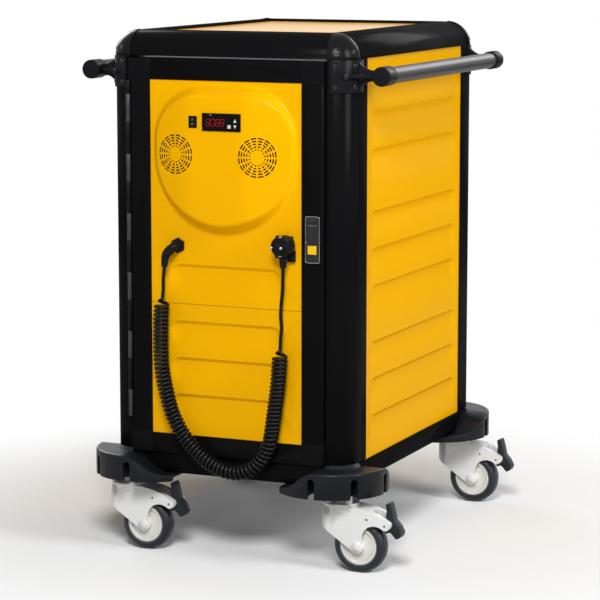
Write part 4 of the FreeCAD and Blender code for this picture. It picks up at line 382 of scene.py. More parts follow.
def brushed(name, colour, roughness, stretch=(1.0, 1.0, 40.0)):
    """Metal with grinding lines, which are finest along the ways that stretch names most."""
    f = Finish(name)
    lines = f.noise(f.place(stretch), scale=60.0, detail=4.0, roughness=0.7)
    stains = f.noise(f.place(), scale=9.0, detail=3.0)
    tone = f.vary(stains, colour, 0.92, 1.06)
    return f.surface(tone, f.around(roughness, lines, 0.20), f.bump(lines, 0.00002), metallic=1.0)


def rubber(name, colour, roughness):
    """Soft rubber: dull, dusty in patches, with a fine rough skin."""
    f = Finish(name)
    place = f.place()
    dust = f.noise(place, scale=45.0, detail=6.0, roughness=0.7)
    skin = f.noise(place, scale=1600.0, detail=2.0)
    tone = f.vary(dust, colour, 0.85, 1.25)
    return f.surface(tone, f.around(roughness, dust, 0.2), f.bump(skin, 0.00004), Specular_IOR_Level=0.35)


def wool(name, colour, pale):
    """Mineral wool board: layered fibres between a dark and a pale colour."""
    f = Finish(name)
    fibres = f.noise(f.place((1.0, 1.0, 6.0)), scale=180.0, detail=8.0, roughness=0.75)
    return f.surface(f.mix(fibres, colour, pale), 0.95, f.bump(fibres, 0.0008), Specular_IOR_Level=0.1)


def glowing(name, colour, strength):
    """Lit segment of the display."""
    f = Finish(name)
    flicker = f.noise(f.place(), scale=800.0, detail=1.0)
    tone = f.vary(flicker, colour, 0.8, 1.0)
    return f.surface((0.05, 0.0, 0.0), 0.4, Emission_Color=tone, Emission_Strength=strength)


def cord_skin(name, colour, dusty):
    """Glossy PVC sheath with faint flow lines and dusty patches."""
    f = Finish(name)
    place = f.place()
    dust = f.noise(place, scale=120.0, detail=4.0, roughness=0.6)
    skin = f.noise(place, scale=700.0, detail=2.0)
    return f.surface(f.mix(dust, colour, dusty), dust * 0.10 + 0.25, f.bump(skin, 0.00001),
                     Specular_IOR_Level=0.02, Coat_Weight=0.32, Coat_Roughness=0.07)


def recipe(maker, colour, factor=1.0, **values):
    """Makes a finish in a colour, or in one of the user's colours by its name, times a factor."""
    def make(name):
        chosen = getattr(bpy.context.scene.trolley_colours, colour) if isinstance(colour, str) else colour
        return maker(name, shade(chosen, factor), **values)
    return make


RECIPES = {
    "panel_yellow": recipe(powder_coat, "yellow", roughness=0.36),
    # Panel yellow with painted shade on the walls of the grille slots.
    "grille_yellow": recipe(powder_coat, "yellow", roughness=0.36, grilles=GRILLES),
    "top_yellow": recipe(powder_coat, "yellow", roughness=0.30, gloss=0.8),
    "frame_black": recipe(powder_coat, "black", roughness=0.36, spread=0.15, gloss=0.07),
    "cap_black": recipe(moulded, "black", 1.6, roughness=0.28, grain=900.0, depth=0.00003, gloss=0.16),
    "block_black": recipe(moulded, "black", 1.4, roughness=0.40, grain=800.0, depth=0.00004, gloss=0.06),
    "fitting_black": recipe(moulded, "black", 2.0, roughness=0.36, grain=1000.0, depth=0.00004, gloss=0.14),
    "screw_black": recipe(moulded, "black", 4.0, roughness=0.24, grain=1400.0, depth=0.00002, gloss=0.5),
    "bumper_grey": recipe(moulded, "bumper", roughness=0.42, grain=800.0, depth=0.00008, gloss=0.30),
    "bar_grey": recipe(moulded, (0.034, 0.031, 0.031), roughness=0.40, grain=1300.0, depth=0.00003,
                       gloss=0.30),
    "castor_white": recipe(moulded, "castor", roughness=0.40, grain=1500.0, depth=0.00002, gloss=0.30,
                           spread=0.01),
    "tyre_grey": recipe(rubber, "tyre", roughness=0.34),
    "pedal_grey": recipe(moulded, (0.020, 0.026, 0.031), roughness=0.42, grain=420.0, depth=0.00014,
                         gloss=0.3),
    "hinge_grey": recipe(moulded, (0.045, 0.045, 0.050), roughness=0.30, grain=700.0, depth=0.00008,
                         gloss=0.5, spread=0.5),
    "pin_dark": recipe(moulded, (0.012, 0.012, 0.013), roughness=0.40, grain=900.0, depth=0.00002,
                       gloss=0.1),
    "seal_rubber": recipe(rubber, (0.012, 0.012, 0.012), roughness=0.7),
    "steel_sheet": recipe(brushed, (0.60, 0.60, 0.61), roughness=0.30),
    "bright_zinc": recipe(brushed, (0.42, 0.42, 0.43), roughness=0.38, stretch=(40.0, 40.0, 1.0)),
    "chrome_rim": recipe(brushed, (0.75, 0.75, 0.77), roughness=0.14, stretch=(20.0, 20.0, 1.0)),
    "nickel_pin": recipe(brushed, (0.70, 0.68, 0.64), roughness=0.20, stretch=(1.0, 30.0, 1.0)),
    "heat_tinted": recipe(brushed, (0.34, 0.31, 0.30), roughness=0.42),
    "mineral_wool": recipe(wool, (0.45, 0.40, 0.22), pale=(0.82, 0.76, 0.52)),
    "latch_grey": recipe(moulded, (0.022, 0.023, 0.025), roughness=0.38, grain=1400.0, depth=0.00003,
                         gloss=0.45),
    # Painted shade: the darker black of the screws' cross recesses.
    "latch_recess": recipe(moulded, (0.010, 0.010, 0.011), roughness=0.55, grain=1400.0, depth=0.00003,
                           gloss=0.3),
    "button_yellow": recipe(moulded, (0.98, 0.56, 0.01), roughness=0.34, grain=1500.0, depth=0.00002,
                            gloss=0.45, spread=0.03),
    "display_black": recipe(moulded, (0.006, 0.005, 0.006), roughness=0.26, grain=1600.0, depth=0.00001,
                            gloss=0.12),
    "display_window": recipe(moulded, (0.012, 0.001, 0.001), roughness=0.22, grain=1600.0, depth=0.00001,
                             gloss=0.1),
    "digit_red": recipe(glowing, (0.62, 0.012, 0.015), strength=0.5),
    "key_white": recipe(moulded, (0.66, 0.68, 0.60), roughness=0.42, grain=1500.0, depth=0.00002,
                        gloss=0.4, spread=0.03),
    "mark_white": recipe(moulded, (0.40, 0.40, 0.40), roughness=0.5, grain=1500.0, depth=0.00001,
                         gloss=0.3, spread=0.03),
    "cord_black": recipe(cord_skin, (0.003, 0.003, 0.003), dusty=(0.009, 0.009, 0.010)),
}
FINISHES = {}


def finish(name):
    """A finish by name, made when it is first asked for."""
    if name not in FINISHES:
        FINISHES[name] = RECIPES[name](name)
    return FINISHES[name]


# ---------------------------------------------------------------- meshes
def dress(node, finish_name, edge=None, crease=CREASE):
    """Gives a CAD node its finish, soft shading over its curves and, with edge, rounded edges."""
    piece = NODES[node]
    piece.data.materials.clear()
    piece.data.materials.append(finish(finish_name))
    for polygon in piece.data.polygons:
        polygon.use_smooth = True
    weld = piece.modifiers.new("join", "WELD")
    weld.merge_threshold = WELD
    if edge:
        round_edges(piece, edge, crease)
    else:
        split = piece.modifiers.new("corners", "EDGE_SPLIT")
        split.split_angle = math.radians(crease)


def round_edges(piece, width, crease):
    bevel = piece.modifiers.new("edges", "BEVEL")
    bevel.width = width
    bevel.segments = 2
    bevel.limit_method = "ANGLE"
    bevel.angle_limit = math.radians(crease)
    bevel.harden_normals = True


def islands(bm):
    """Lists of faces that hang together, one list for each solid."""
    left = set(bm.faces)
    while left:
        group = [left.pop()]
        for face in group:
            for edge in face.edges:
                for other in edge.link_faces:
                    if other in left:
                        left.remove(other)
                        group.append(other)
        yield group


def solids_of(node, name, body, slots, choose, edge=None):
    """A merged copy of a CAD node whose solids take different finishes. choose gets a solid's box."""
    bm = bmesh.new()
    bm.from_mesh(NODES[node].data)
    bmesh.ops.remove_doubles(bm, verts=bm.verts, dist=WELD)
    for group in islands(bm):
        corners = [v.co for face in group for v in face.verts]
        low = Vector([min(c[i] for c in corners) for i in range(3)])
        high = Vector([max(c[i] for c in corners) for i in range(3)])
        index = choose(low, high)
        for face in group:
            face.material_index = index
    piece = place_piece(bm, name, slots, body, edge)
    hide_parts(node)
    return piece


def place_piece(bm, name, slots, body, edge=None, crease=CREASE, smooth=True):
    """Writes a bmesh into a new object that rides on a body."""
    mesh = bpy.data.meshes.new(name)
    for face in bm.faces:
        face.smooth = smooth
    bm.to_mesh(mesh)
    bm.free()
    piece = bpy.data.objects.new(name, mesh)
    bpy.context.scene.collection.objects.link(piece)
    for slot in slots:
        mesh.materials.append(finish(slot))
    if edge:
        round_edges(piece, edge, crease)
    elif smooth:
        mesh.set_sharp_from_angle(angle=math.radians(crease))
    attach(piece, body)
    return piece


def turn_to(direction, place):
    """Matrix that takes the Z axis to direction and the origin to place."""
    return Matrix.Translation(place) @ direction.to_track_quat("Z", "Y").to_matrix().to_4x4()


def facing_front(x, y, z):
    """Matrix that turns the Z axis to the front and takes the origin to x, y, z."""
    return turn_to(Vector((0, -1, 0)), Vector((x, y, z)))


def added(bm, before):
    """Vertices of bm that aren't in before."""
    return [v for v in bm.verts if v not in before]


def lathe(bm, profile, matrix, steps):
    """Spins a profile of (radius, height) points about the Z axis, then moves it by matrix."""
    before = set(bm.verts)
    line = [bm.verts.new((r, 0.0, h)) for r, h in profile]
    edges = [bm.edges.new(pair) for pair in zip(line, line[1:])]
    bmesh.ops.spin(bm, geom=line + edges, cent=(0, 0, 0), axis=(0, 0, 1), angle=math.tau, steps=steps,
                   use_merge=True, use_duplicate=False)
    bmesh.ops.remove_doubles(bm, verts=added(bm, before), dist=LATHE_WELD)
    bmesh.ops.transform(bm, matrix=matrix, verts=added(bm, before))


def brick(bm, size, matrix):
    """A small block, made about the origin and moved by matrix. Returns its faces."""
    made = bmesh.ops.create_cube(bm, size=1.0, matrix=matrix @ Matrix.Diagonal((*size, 1.0)))
    return list({face for v in made["verts"] for face in v.link_faces})


def thin_way(points):
    """Level direction in which a wheel's points reach least far."""
    def reach(way):
        marks = [point.dot(way) for point in points]
        return max(marks) - min(marks)

    turns = [math.radians(turn) for turn in range(180)]
    return min([Vector((math.cos(turn), math.sin(turn), 0.0)) for turn in turns], key=reach)


def outward(bm):
    """Turns all faces outward. Returns bm."""
    bmesh.ops.recalc_face_normals(bm, faces=bm.faces)
    return bm


def shifted(x, z, box):
    """A box of left, right, bottom and top, moved by x and z."""
    left, right, low, high = box
    return x + left, x + right, z + low, z + high


def plate(bm, box, y, radius=0.0, segments=1):
    """A flat face at y over a box of left, right, bottom and top, with round corners. Returns the face."""
    left, right, low, high = box
    before = set(bm.faces)
    matrix = (Matrix.Translation(((left + right) / 2, y, (low + high) / 2))
              @ Matrix.Rotation(math.pi / 2, 4, "X") @ Matrix.Diagonal((right - left, high - low, 1, 1)))
    made = bmesh.ops.create_grid(bm, x_segments=1, y_segments=1, size=0.5, matrix=matrix)
    if radius:
        bmesh.ops.bevel(bm, geom=made["verts"], offset=radius, segments=segments, profile=0.5,
                        affect="VERTICES", material=-1)
    return max((face for face in bm.faces if face not in before), key=lambda face: face.calc_area())


def thicken(bm, faces, depth):
    """Pushes faces along Y by depth, with walls."""
    made = bmesh.ops.extrude_face_region(bm, geom=faces)
    verts = [g for g in made["geom"] if isinstance(g, bmesh.types.BMVert)]
    bmesh.ops.translate(bm, vec=(0, depth, 0), verts=verts)


# ---------------------------------------------------------------- curves
def curve(name, kind, points, **settings):
    """Curve data with its own settings and one spline through points."""
    data = bpy.data.curves.new(name, "CURVE")
    data.dimensions = "3D"
    for key, value in settings.items():
        setattr(data, key, value)
    spline = data.splines.new(kind)
    spline.points.add(len(points) - 1)
    for point, place in zip(spline.points, points):
        point.co = (*place, 1.0)
    return data


def mesh_of(data):
    """The mesh that Blender makes of curve data, which is deleted."""
    thing = bpy.data.objects.new(data.name, data)
    bpy.context.scene.collection.objects.link(thing)
    bpy.context.view_layer.update()
    mesh = bpy.data.meshes.new_from_object(thing.evaluated_get(bpy.context.evaluated_depsgraph_get()))
    bpy.data.objects.remove(thing)
    bpy.data.curves.remove(data)
    return mesh


def smooth_line(points, name, steps=24):
    """Points along a NURBS curve through the control points, as Blender evaluates it."""
    data = curve(name, "NURBS", points, resolution_u=steps)
    data.splines[0].order_u = 3
    data.splines[0].use_endpoint_u = True
    mesh = mesh_of(data)
    line = [v.co.copy() for v in mesh.vertices]
    bpy.data.meshes.remove(mesh)
    return line


def sweep(points, name, radii, sides):
    """Mesh of a round closed tube along points, with a radius for each point."""
    data = curve(name, "POLY", points, bevel_depth=1.0, bevel_resolution=sides, use_fill_caps=True)
    for point, radius in zip(data.splines[0].points, radii):
        point.radius = radius
    mesh = mesh_of(data)
    bm = bmesh.new()
    bm.from_mesh(mesh)
    bpy.data.meshes.remove(mesh)
    bmesh.ops.remove_doubles(bm, verts=bm.verts, dist=TUBE_WELD)
    return bm


def line_length(points):
    return sum((b - a).length for a, b in zip(points, points[1:]))


class Along:
    """Place, direction and bend at a distance along a line of points."""

    HEADING_REACH = 0.002
    BEND_REACH = 0.012
    END_MARGIN = 0.003

    def __init__(self, points):
        self.points = points
        self.marks = [0.0]
        for a, b in zip(points, points[1:]):
            self.marks.append(self.marks[-1] + (b - a).length)
        self.length = self.marks[-1]
        self.seen = 0

    def at(self, distance):
        distance = min(max(distance, 0.0), self.length)
        while self.seen < len(self.marks) - 2 and self.marks[self.seen + 1] < distance:
            self.seen += 1
        while self.seen > 0 and self.marks[self.seen] > distance:
            self.seen -= 1
        a, b = self.points[self.seen], self.points[self.seen + 1]
        mark, after = self.marks[self.seen], self.marks[self.seen + 1]
        return a.lerp(b, (distance - mark) / max(after - mark, 1e-9))

    def heading(self, distance):
        return (self.at(distance + self.HEADING_REACH) - self.at(distance - self.HEADING_REACH)).normalized()

    def bend(self, distance):
        """Angle for each metre of the line round distance."""
        low = max(distance - self.BEND_REACH, self.END_MARGIN)
        high = min(distance + self.BEND_REACH, self.length - self.END_MARGIN)
        angle = self.heading(low).angle(self.heading(high))
        return angle / max(high - low, 0.001)


# ---------------------------------------------------------------- operators
class TROLLEY_OT_frame(bpy.types.Operator):
    """Black profiles of the cabinet and the door, their caps, corner blocks and the strike plate"""

    bl_idname = "trolley.frame"
    bl_label = "Frame"

    def execute(self, context):
        edge = context.scene.trolley_sizes.edge_round
        dress("corner_posts", "frame_black", edge)
        dress("frame_rails", "frame_black", edge)
        dress("corner_caps", "cap_black", edge)
        dress("door_frame", "frame_black", edge)
        dress("door_corner_blocks", "block_black", edge * 0.5)
        dress("strike_plate", "bright_zinc", edge * 0.3)
        return {"FINISHED"}


class TROLLEY_OT_panels(bpy.types.Operator):
    """Yellow sheets of the sides, back, top and door"""

    bl_idname = "trolley.panels"
    bl_label = "Panels"

    def execute(self, context):
        for node in ("left_side_panel", "right_side_panel", "back_panel", "door_lower_panel"):
            dress(node, "panel_yellow", crease=PRESSED_CREASE)
        dress("top_panel", "top_yellow", crease=PRESSED_CREASE)
        dress("door_upper_panel", "grille_yellow", crease=PRESSED_CREASE)
        return {"FINISHED"}


class TROLLEY_OT_inside(bpy.types.Operator):
    """Steel inner box, racks, insulation, seal, heater and fans"""

    bl_idname = "trolley.inside"
    bl_label = "Inside"

    def execute(self, context):
        for node in ("inner_liner", "tray_racks", "door_inner_panel", "base_plate"):
            dress(node, "steel_sheet")
        dress("insulation", "mineral_wool")
        dress("door_gasket", "seal_rubber", 0.001)
        dress("heating_element", "heat_tinted")
        for node in ("left_fan", "right_fan", "fan_frames"):
            dress(node, "cap_black")
        return {"FINISHED"}


class TROLLEY_OT_hinge(bpy.types.Operator):
    """Grey knuckles of the door's leaf and black ones of the post between them"""

    bl_idname = "trolley.hinge"
    bl_label = "Hinge"

    def execute(self, context):
        edge = context.scene.trolley_sizes.edge_round * 0.5
        dress("hinge_door_knuckles", "hinge_grey", edge)
        dress("hinge_post_knuckles", "cap_black", edge)
        return {"FINISHED"}


class TROLLEY_OT_screws(bpy.types.Operator):
    """Domed screw heads whose cross recess is painted darker as shade, on the caps and the bar brackets"""

    bl_idname = "trolley.screws"
    bl_label = "Screws"

    def execute(self, context):
        bm = bmesh.new()
        for sx, sy in CORNERS.values():
            mirror = Matrix.Diagonal((sx, sy, 1, 1))
            for azimuths, rise, seat_r, heights, head_r, share in SCREWS:
                head_height = context.scene.trolley_sizes.screw_height * share
                for azimuth in azimuths:
                    for z in heights:
                        stand = mirror @ self.seat(math.radians(azimuth), math.radians(rise), seat_r, z)
                        self.head(bm, stand, head_r, head_height)
        piece = place_piece(outward(bm), "screw_heads", ["screw_black", "latch_recess"], "cabinet")
        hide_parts("frame_screws")
        return {"FINISHED"}

    def seat(self, azimuth, rise, radius, z):
        """Matrix of a seat round the rear right post, which looks away from the post."""
        out = Vector((math.cos(azimuth) * math.cos(rise), math.sin(azimuth) * math.cos(rise), math.sin(rise)))
        return turn_to(out, POST_CENTRE + Vector((0, 0, z)) + out * radius)

    def head(self, bm, stand, radius, height):
        lathe(bm, [(r * radius, h * height) for r, h in HEAD_PROFILE], stand, 20)
        long, short, deep = radius * CROSS_LENGTH, radius * CROSS_WIDTH, height * CROSS_DEPTH
        for size in ((long, short, deep), (short, long, deep)):
            for face in brick(bm, size, stand @ Matrix.Translation((0, 0, height * CROSS_HEIGHT))):
                # Painted shade: the cross takes the darker finish of a shaded recess.
                face.material_index = 1


class TROLLEY_OT_bars(bpy.types.Operator):
    """Push bars and their moulded brackets"""

    bl_idname = "trolley.bars"
    bl_label = "Push bars"

    def execute(self, context):
        dress("push_bars", "bar_grey")
        dress("bar_brackets", "fitting_black", 0.0008)
        return {"FINISHED"}


class TROLLEY_OT_bumpers(bpy.types.Operator):
    """Slotted corner bumpers and the castor mounts that show through them"""

    bl_idname = "trolley.bumpers"
    bl_label = "Bumpers"

    def execute(self, context):
        dress("corner_bumpers", "bumper_grey", 0.0012)
        dress("castor_mounts", "castor_white", 0.0006)
        return {"FINISHED"}


class TROLLEY_OT_castors(bpy.types.Operator):
    """Forks with their dark steel axles, hubs, tyres and pedals"""

    bl_idname = "trolley.castors"
    bl_label = "Castors"

    def execute(self, context):
        for corner in CORNERS:
            solids_of(corner + "_fork", corner + "_housing", corner + "_fork", ["castor_white", "pin_dark"],
                      lambda low, high: int((high - low).z < PIN_HEIGHT))
            self.hub(context, corner + "_hub")
            dress(corner + "_tyre", "tyre_grey", crease=ROUND_CREASE)
            dress(corner + "_pedal", "pedal_grey", 0.0006)
        return {"FINISHED"}

    def hub(self, context, node):
        """Dresses a hub by the distance from its own axis, which lies along its thinner way."""
        low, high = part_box(node)
        axis = thin_way([v.co for v in NODES[node].data.vertices])
        name = node + "_finish"
        FINISHES[name] = wheel_hub(name, context.scene.trolley_colours.hub, (low + high) / 2, axis)
        dress(node, name, 0.0005)


class TROLLEY_OT_controls(bpy.types.Operator):
    """Display with lit digits, keys, indicator and rocker switch"""

    bl_idname = "trolley.controls"
    bl_label = "Controls"

    def execute(self, context):
        dress("controller", "display_black", 0.0003)
        for key in ("key_set", "key_up", "key_down"):
            dress(key, "key_white", 0.0003)
        dress("switch_frame", "display_black", 0.0003)
        dress("switch_rocker", "fitting_black", 0.0004)
        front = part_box("controller")[0].y
        self.window(front)
        self.digits(front - DIGIT_PROUD)
        self.indicator(front)
        self.switch_marks()
        return {"FINISHED"}

    def window(self, front):
        bm = bmesh.new()
        box = shifted(DISPLAY_MIDDLE.x, DISPLAY_MIDDLE.z, WINDOW)
        face = plate(bm, box, front + WINDOW_SINK, WINDOW_ROUND, 3)
        thicken(bm, [face], -WINDOW_DEPTH)
        piece = place_piece(outward(bm), "display_window", ["display_window"], "door", smooth=False)

    def digits(self, y):
        bm = bmesh.new()
        left, right, low, high = WINDOW
        middle = DISPLAY_MIDDLE + Vector(((left + right) / 2, y, (low + high) / 2))
        half, tall = DIGIT_W / 2, DIGIT_H / 2
        places = {"a": (0, tall, False), "g": (0, 0, False), "d": (0, -tall, False),
                  "f": (-half, tall / 2, True), "b": (half, tall / 2, True),
                  "e": (-half, -tall / 2, True), "c": (half, -tall / 2, True)}
        for index, digit in enumerate(DIGITS):
            start = (index - (len(DIGITS) - 1) / 2) * DIGIT_PITCH
            for part in DIGIT_PARTS[digit]:
                x, z, upright = places[part]
                length = DIGIT_H / 2 if upright else DIGIT_W
                self.segment(bm, middle + Vector((start + x + z * DIGIT_SLANT, 0, z)), length, upright)
        piece = place_piece(outward(bm), "display_digits", ["digit_red"], "door", smooth=False)

    def segment(self, bm, place, length, upright):
        """A long hexagon that lies in the face of the display."""
        made = bmesh.ops.create_circle(bm, cap_ends=True, segments=6, radius=SEGMENT_R)
        for v in made["verts"]:
            v.co.x += math.copysign(length / 2 - SEGMENT_GAP, v.co.x)
        turn = Matrix.Rotation(math.pi / 2, 4, "X") @ Matrix.Rotation(math.pi / 2 if upright else 0.0, 4, "Z")
        bmesh.ops.transform(bm, matrix=Matrix.Translation(place) @ turn, verts=made["verts"])

    def indicator(self, front):
        bm = bmesh.new()
        lathe(bm, INDICATOR_PROFILE, facing_front(INDICATOR_X, front, INDICATOR_Z), 16)
        piece = place_piece(outward(bm), "display_indicator", ["mark_white"], "door")

    def switch_marks(self):
        """On and off marks: a bar and a ring on the rocker."""
        low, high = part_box("switch_rocker")
        middle = (low + high) / 2
        bm = bmesh.new()
        face = plate(bm, shifted(middle.x, middle.z, ON_MARK), low.y + ON_MARK_SINK)
        thicken(bm, [face], -ON_MARK_DEPTH)
        ring = facing_front(middle.x, low.y + OFF_MARK_SINK, middle.z - OFF_MARK_DROP)
        lathe(bm, OFF_MARK_PROFILE, ring, 20)
        piece = place_piece(outward(bm), "switch_marks", ["mark_white"], "switch_rocker", smooth=False)


class TROLLEY_OT_latch(bpy.types.Operator):
    """Latch plate with its bright rim, groove and pin, its yellow button and its bolt"""

    bl_idname = "trolley.latch"
    bl_label = "Latch"

    def execute(self, context):
        dress("latch_plate", "latch_grey", 0.0005)
        dress("latch_button", "button_yellow", 0.0004)
        dress("latch_bolt", "bright_zinc", 0.0003)
        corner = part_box("latch_plate")[0]
        width, height = LATCH_SIZE
        self.rim(corner.x, corner.x + width, LATCH_TOP - height, corner.y)
        self.details(corner.x, corner.x + width, corner.y)
        return {"FINISHED"}

    def rim(self, left, right, low, front):
        """The thin bright line round the plate's face."""
        bm = bmesh.new()
        box = (left + RIM_MARGIN, right - RIM_MARGIN, low + RIM_MARGIN, LATCH_TOP - RIM_MARGIN)
        face = plate(bm, box, front + RIM_SINK, RIM_ROUND, 8)
        bmesh.ops.inset_region(bm, faces=[face], thickness=RIM_WIDTH, use_boundary=True, use_even_offset=True)
        bmesh.ops.delete(bm, geom=[face], context="FACES_ONLY")
        thicken(bm, list(bm.faces), -RIM_DEPTH)
        piece = place_piece(outward(bm), "latch_rim", ["chrome_rim"], "door", 0.0002)

    def details(self, left, right, front):
        """The light groove across the plate and the small bright pin below it."""
        bm = bmesh.new()
        line = plate(bm, shifted((left + right) / 2, LATCH_TOP, GROOVE), front - GROOVE_PROUD)
        thicken(bm, [line], GROOVE_DEPTH)
        lathe(bm, LATCH_PIN_PROFILE, facing_front(left + LATCH_PIN_IN, front, LATCH_TOP - LATCH_PIN_DROP), 14)
        piece = place_piece(outward(bm), "latch_details", ["chrome_rim"], "door")


class TROLLEY_OT_cord(bpy.types.Operator):
    """Curly mains lead, its gland with the ribbed boot, and its plug on the holder"""

    bl_idname = "trolley.cord"
    bl_label = "Mains lead"

    def execute(self, context):
        sizes = context.scene.trolley_sizes
        lead, route, tail = [smooth_line([(x, CORD_Y, z) for x, z in points], name)
                             for name, points in ROUTES.items()]
        path = lead[:-1] + self.curls(route, sizes) + tail[1:]
        bm = sweep(path, "mains_cord", [sizes.cord_diameter / 2] * len(path), 2)
        cord = place_piece(bm, "mains_cord", ["cord_black"], "door", crease=ROUND_CREASE)
        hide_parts("cord_lead", "cord_coil", "cord_tail")
        boot = self.boot()
        plug = self.plug()
        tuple(path[0])
        line_length(path)
        dress("plug_holder", "fitting_black", 0.0006)
        return {"FINISHED"}

    def curls(self, route, sizes):
        """The helix round the route, which opens from the straight cord and closes again."""
        along = Along(route)
        wire = sizes.cord_diameter
        radius = (sizes.coil_diameter - wire) / 2
        marks = self.marks(along, wire, radius, sizes.coil_gap)
        count = len(marks) - 1
        stretch = (along.length - 2 * wire) / (marks[-1] - wire)
        rear = Vector((0, 1, 0))
        points = [along.at(0.0)]
        for index in range(int(CURLS * POINTS_PER_CURL) + 1):
            share = index / (CURLS * POINTS_PER_CURL) * count
            low = min(int(share), count - 1)
            mark = marks[low] + (marks[low + 1] - marks[low]) * (share - low)
            distance = wire + (mark - wire) * stretch
            phase = index / POINTS_PER_CURL
            opening = max(0.0, min(phase, CURLS - phase, 1.0))
            reach = radius * opening * opening * (3 - 2 * opening)
            across = along.heading(distance).cross(rear).normalized()
            angle = math.tau * phase
            points.append(along.at(distance) + (across * math.cos(angle) - rear * math.sin(angle)) * reach)
        points.append(along.at(along.length))
        return points

    def marks(self, along, wire, radius, gap):
        """Distances of the curls' points along the route, wider at its ends and where it bends."""
        marks = [wire]
        turn = 0.0
        while marks[-1] < along.length - wire:
            near_end = turn < 1.0 or along.length - wire - marks[-1] < END_PITCH * wire
            bend = along.bend(marks[-1])
            pitch = END_PITCH * wire if near_end else (wire + gap) / (1 - radius * bend)
            marks.append(marks[-1] + pitch / POINTS_PER_CURL)
            turn += 1.0 / POINTS_PER_CURL
        return marks

    def boot(self):
        """Hexagon nut, elbow and a tapered boot with ribs."""
        line = smooth_line(BOOT_POINTS, "boot_route", steps=30)
        whole = line_length(line)
        radii = []
        for count in range(1, len(line) + 1):
            run = line_length(line[:count])
            share = run / whole
            taper = max(0.0, (share - BOOT_TAPER_FROM) / (1 - BOOT_TAPER_FROM))
            rib = BOOT_RIB if share > BOOT_RIBS_FROM else 0.0
            wave = max(0.0, math.sin(math.tau * run / BOOT_RIB_PITCH)) ** BOOT_RIB_FULLNESS
            radii.append(BOOT_R + (BOOT_TIP_R - BOOT_R) * taper + rib * wave)
        bm = sweep(line, "cord_boot", radii, 5)
        before = set(bm.verts)
        nut = bmesh.ops.create_cone(bm, cap_ends=True, segments=6, radius1=NUT_R, radius2=NUT_R,
                                    depth=NUT_DEPTH)
        bmesh.ops.bevel(bm, geom=list({e for v in nut["verts"] for e in v.link_edges}), offset=NUT_ROUND,
                        segments=2, profile=0.5, affect="EDGES", material=-1)
        seat = facing_front(GLAND.x, GLAND.y - NUT_DEPTH / 2, GLAND.z)
        bmesh.ops.transform(bm, verts=added(bm, before), matrix=seat)
        piece = place_piece(outward(bm), "cord_boot", ["fitting_black"], "door")
        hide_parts("cord_gland")
        return piece

    def plug(self):
        """Round plug whose pins and earth contacts are bright."""
        piece = solids_of("plug", "mains_plug", "door", ["fitting_black", "nickel_pin"],
                          lambda low, high: int((high - low).x <= PLUG_PIN_WIDTH), 0.0005)
        return piece


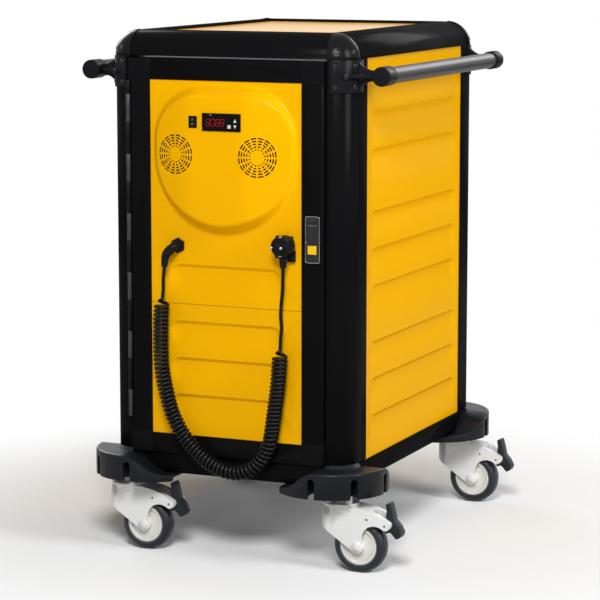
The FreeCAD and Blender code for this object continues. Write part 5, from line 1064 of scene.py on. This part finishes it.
class TROLLEY_OT_stage(bpy.types.Operator):
    """White floor and world, soft lights and the camera"""

    bl_idname = "trolley.stage"
    bl_label = "Stage"

    def execute(self, context):
        self.floor()
        self.world(context)
        for name, values in LAMPS.items():
            self.lamp(name, *values)
        self.camera(context)
        return {"FINISHED"}

    def floor(self):
        """A matt floor that takes the shadow and turns to pure white away from the trolley."""
        bm = bmesh.new()
        bmesh.ops.create_grid(bm, x_segments=2, y_segments=2, size=FLOOR_HALF)
        mesh = bpy.data.meshes.new("floor")
        bm.to_mesh(mesh)
        bm.free()
        floor = bpy.data.objects.new("floor", mesh)
        bpy.context.scene.collection.objects.link(floor)
        f = Finish("studio_floor")
        here = f.add("ShaderNodeTexCoord", output="Object")
        reach = f.add("ShaderNodeVectorMath", {"operation": "LENGTH"}, {0: here}, "Value")
        far = f.add("ShaderNodeMapRange", {"interpolation_type": "SMOOTHSTEP"},
                    {"Value": reach, "From Min": FLOOR_FADE[0], "From Max": FLOOR_FADE[1]})
        tone = f.vary(f.noise(f.place(), scale=30.0), WHITE, *FLOOR_TONES)
        matt = f.add("ShaderNodeBsdfDiffuse", inputs={"Color": tone, "Roughness": 1.0})
        white = f.add("ShaderNodeEmission", inputs={"Color": WHITE, "Strength": 1.0})
        seen = f.add("ShaderNodeLightPath", output="Is Camera Ray")
        mixed = f.add("ShaderNodeMixShader", inputs={0: far * seen, 1: matt, 2: white})
        f.add("ShaderNodeOutputMaterial", inputs={"Surface": mixed})
        mesh.materials.append(f.material)

    def world(self, context):
        """White to the camera and in reflections, and a faint sky as a light."""
        world = bpy.data.worlds.new("studio")
        context.scene.world = world
        world.use_nodes = True
        n = Nodes(world.node_tree)
        soft = n.add("ShaderNodeBackground", inputs={"Color": SKY, "Strength": SKY_STRENGTH})
        white = n.add("ShaderNodeBackground", inputs={"Color": WHITE, "Strength": 1.0})
        seen = sum(n.add("ShaderNodeLightPath", output=ray)
                   for ray in ("Is Camera Ray", "Is Glossy Ray", "Is Transmission Ray"))
        mixed = n.add("ShaderNodeMixShader", inputs={0: seen > 0.5, 1: soft, 2: white})
        n.add("ShaderNodeOutputWorld", inputs={"Surface": mixed})

    def lamp(self, name, place, target, size, power):
        data = bpy.data.lights.new(name, "AREA")
        data.shape = "RECTANGLE"
        data.size, data.size_y = size
        data.energy = power
        lamp = bpy.data.objects.new(name, data)
        bpy.context.scene.collection.objects.link(lamp)
        aim = Vector(target) - Vector(place)
        lamp.matrix_world = Matrix.Translation(place) @ aim.to_track_quat("-Z", "Y").to_matrix().to_4x4()

    def camera(self, context):
        """The photograph's view: seen from the right front, a little from above."""
        data = bpy.data.cameras.new("camera")
        data.lens = CAMERA_LENS
        data.sensor_width = CAMERA_SENSOR
        data.clip_end = CAMERA_FAR
        camera = bpy.data.objects.new("camera", data)
        context.scene.collection.objects.link(camera)
        camera.location = CAMERA_PLACE
        camera.rotation_euler = (math.pi / 2 - CAMERA_DIP, 0.0, CAMERA_TURN)
        context.scene.camera = camera
        context.scene.view_settings.view_transform = "Standard"


class TROLLEY_PT_panel(bpy.types.Panel):
    """Shows the colours and sizes, and lists the trolley's steps"""

    bl_idname = "TROLLEY_PT_panel"
    bl_label = "Hostess trolley"
    bl_space_type = "VIEW_3D"
    bl_region_type = "UI"
    bl_category = "Trolley"

    def draw(self, context):
        layout = self.layout
        for group in (context.scene.trolley_colours, context.scene.trolley_sizes):
            for name in group.__annotations__:
                layout.prop(group, name)
        for operator in STEPS:
            layout.operator(operator.bl_idname)


STEPS = (
    TROLLEY_OT_stage, TROLLEY_OT_cord, TROLLEY_OT_frame, TROLLEY_OT_panels, TROLLEY_OT_inside,
    TROLLEY_OT_hinge, TROLLEY_OT_screws, TROLLEY_OT_bars, TROLLEY_OT_bumpers, TROLLEY_OT_castors,
    TROLLEY_OT_controls, TROLLEY_OT_latch,
)
CLASSES = (TrolleyColours, TrolleySizes, *STEPS, TROLLEY_PT_panel)


def register():
    for item in CLASSES:
        bpy.utils.register_class(item)
    bpy.types.Scene.trolley_colours = PointerProperty(type=TrolleyColours)
    bpy.types.Scene.trolley_sizes = PointerProperty(type=TrolleySizes)


def unregister():
    del bpy.types.Scene.trolley_sizes
    del bpy.types.Scene.trolley_colours
    for item in reversed(CLASSES):
        bpy.utils.unregister_class(item)


def main():
    register()
    for step in STEPS:
        group, name = step.bl_idname.split(".")
        getattr(getattr(bpy.ops, group), name)()


if __name__ == "__main__":
    main()
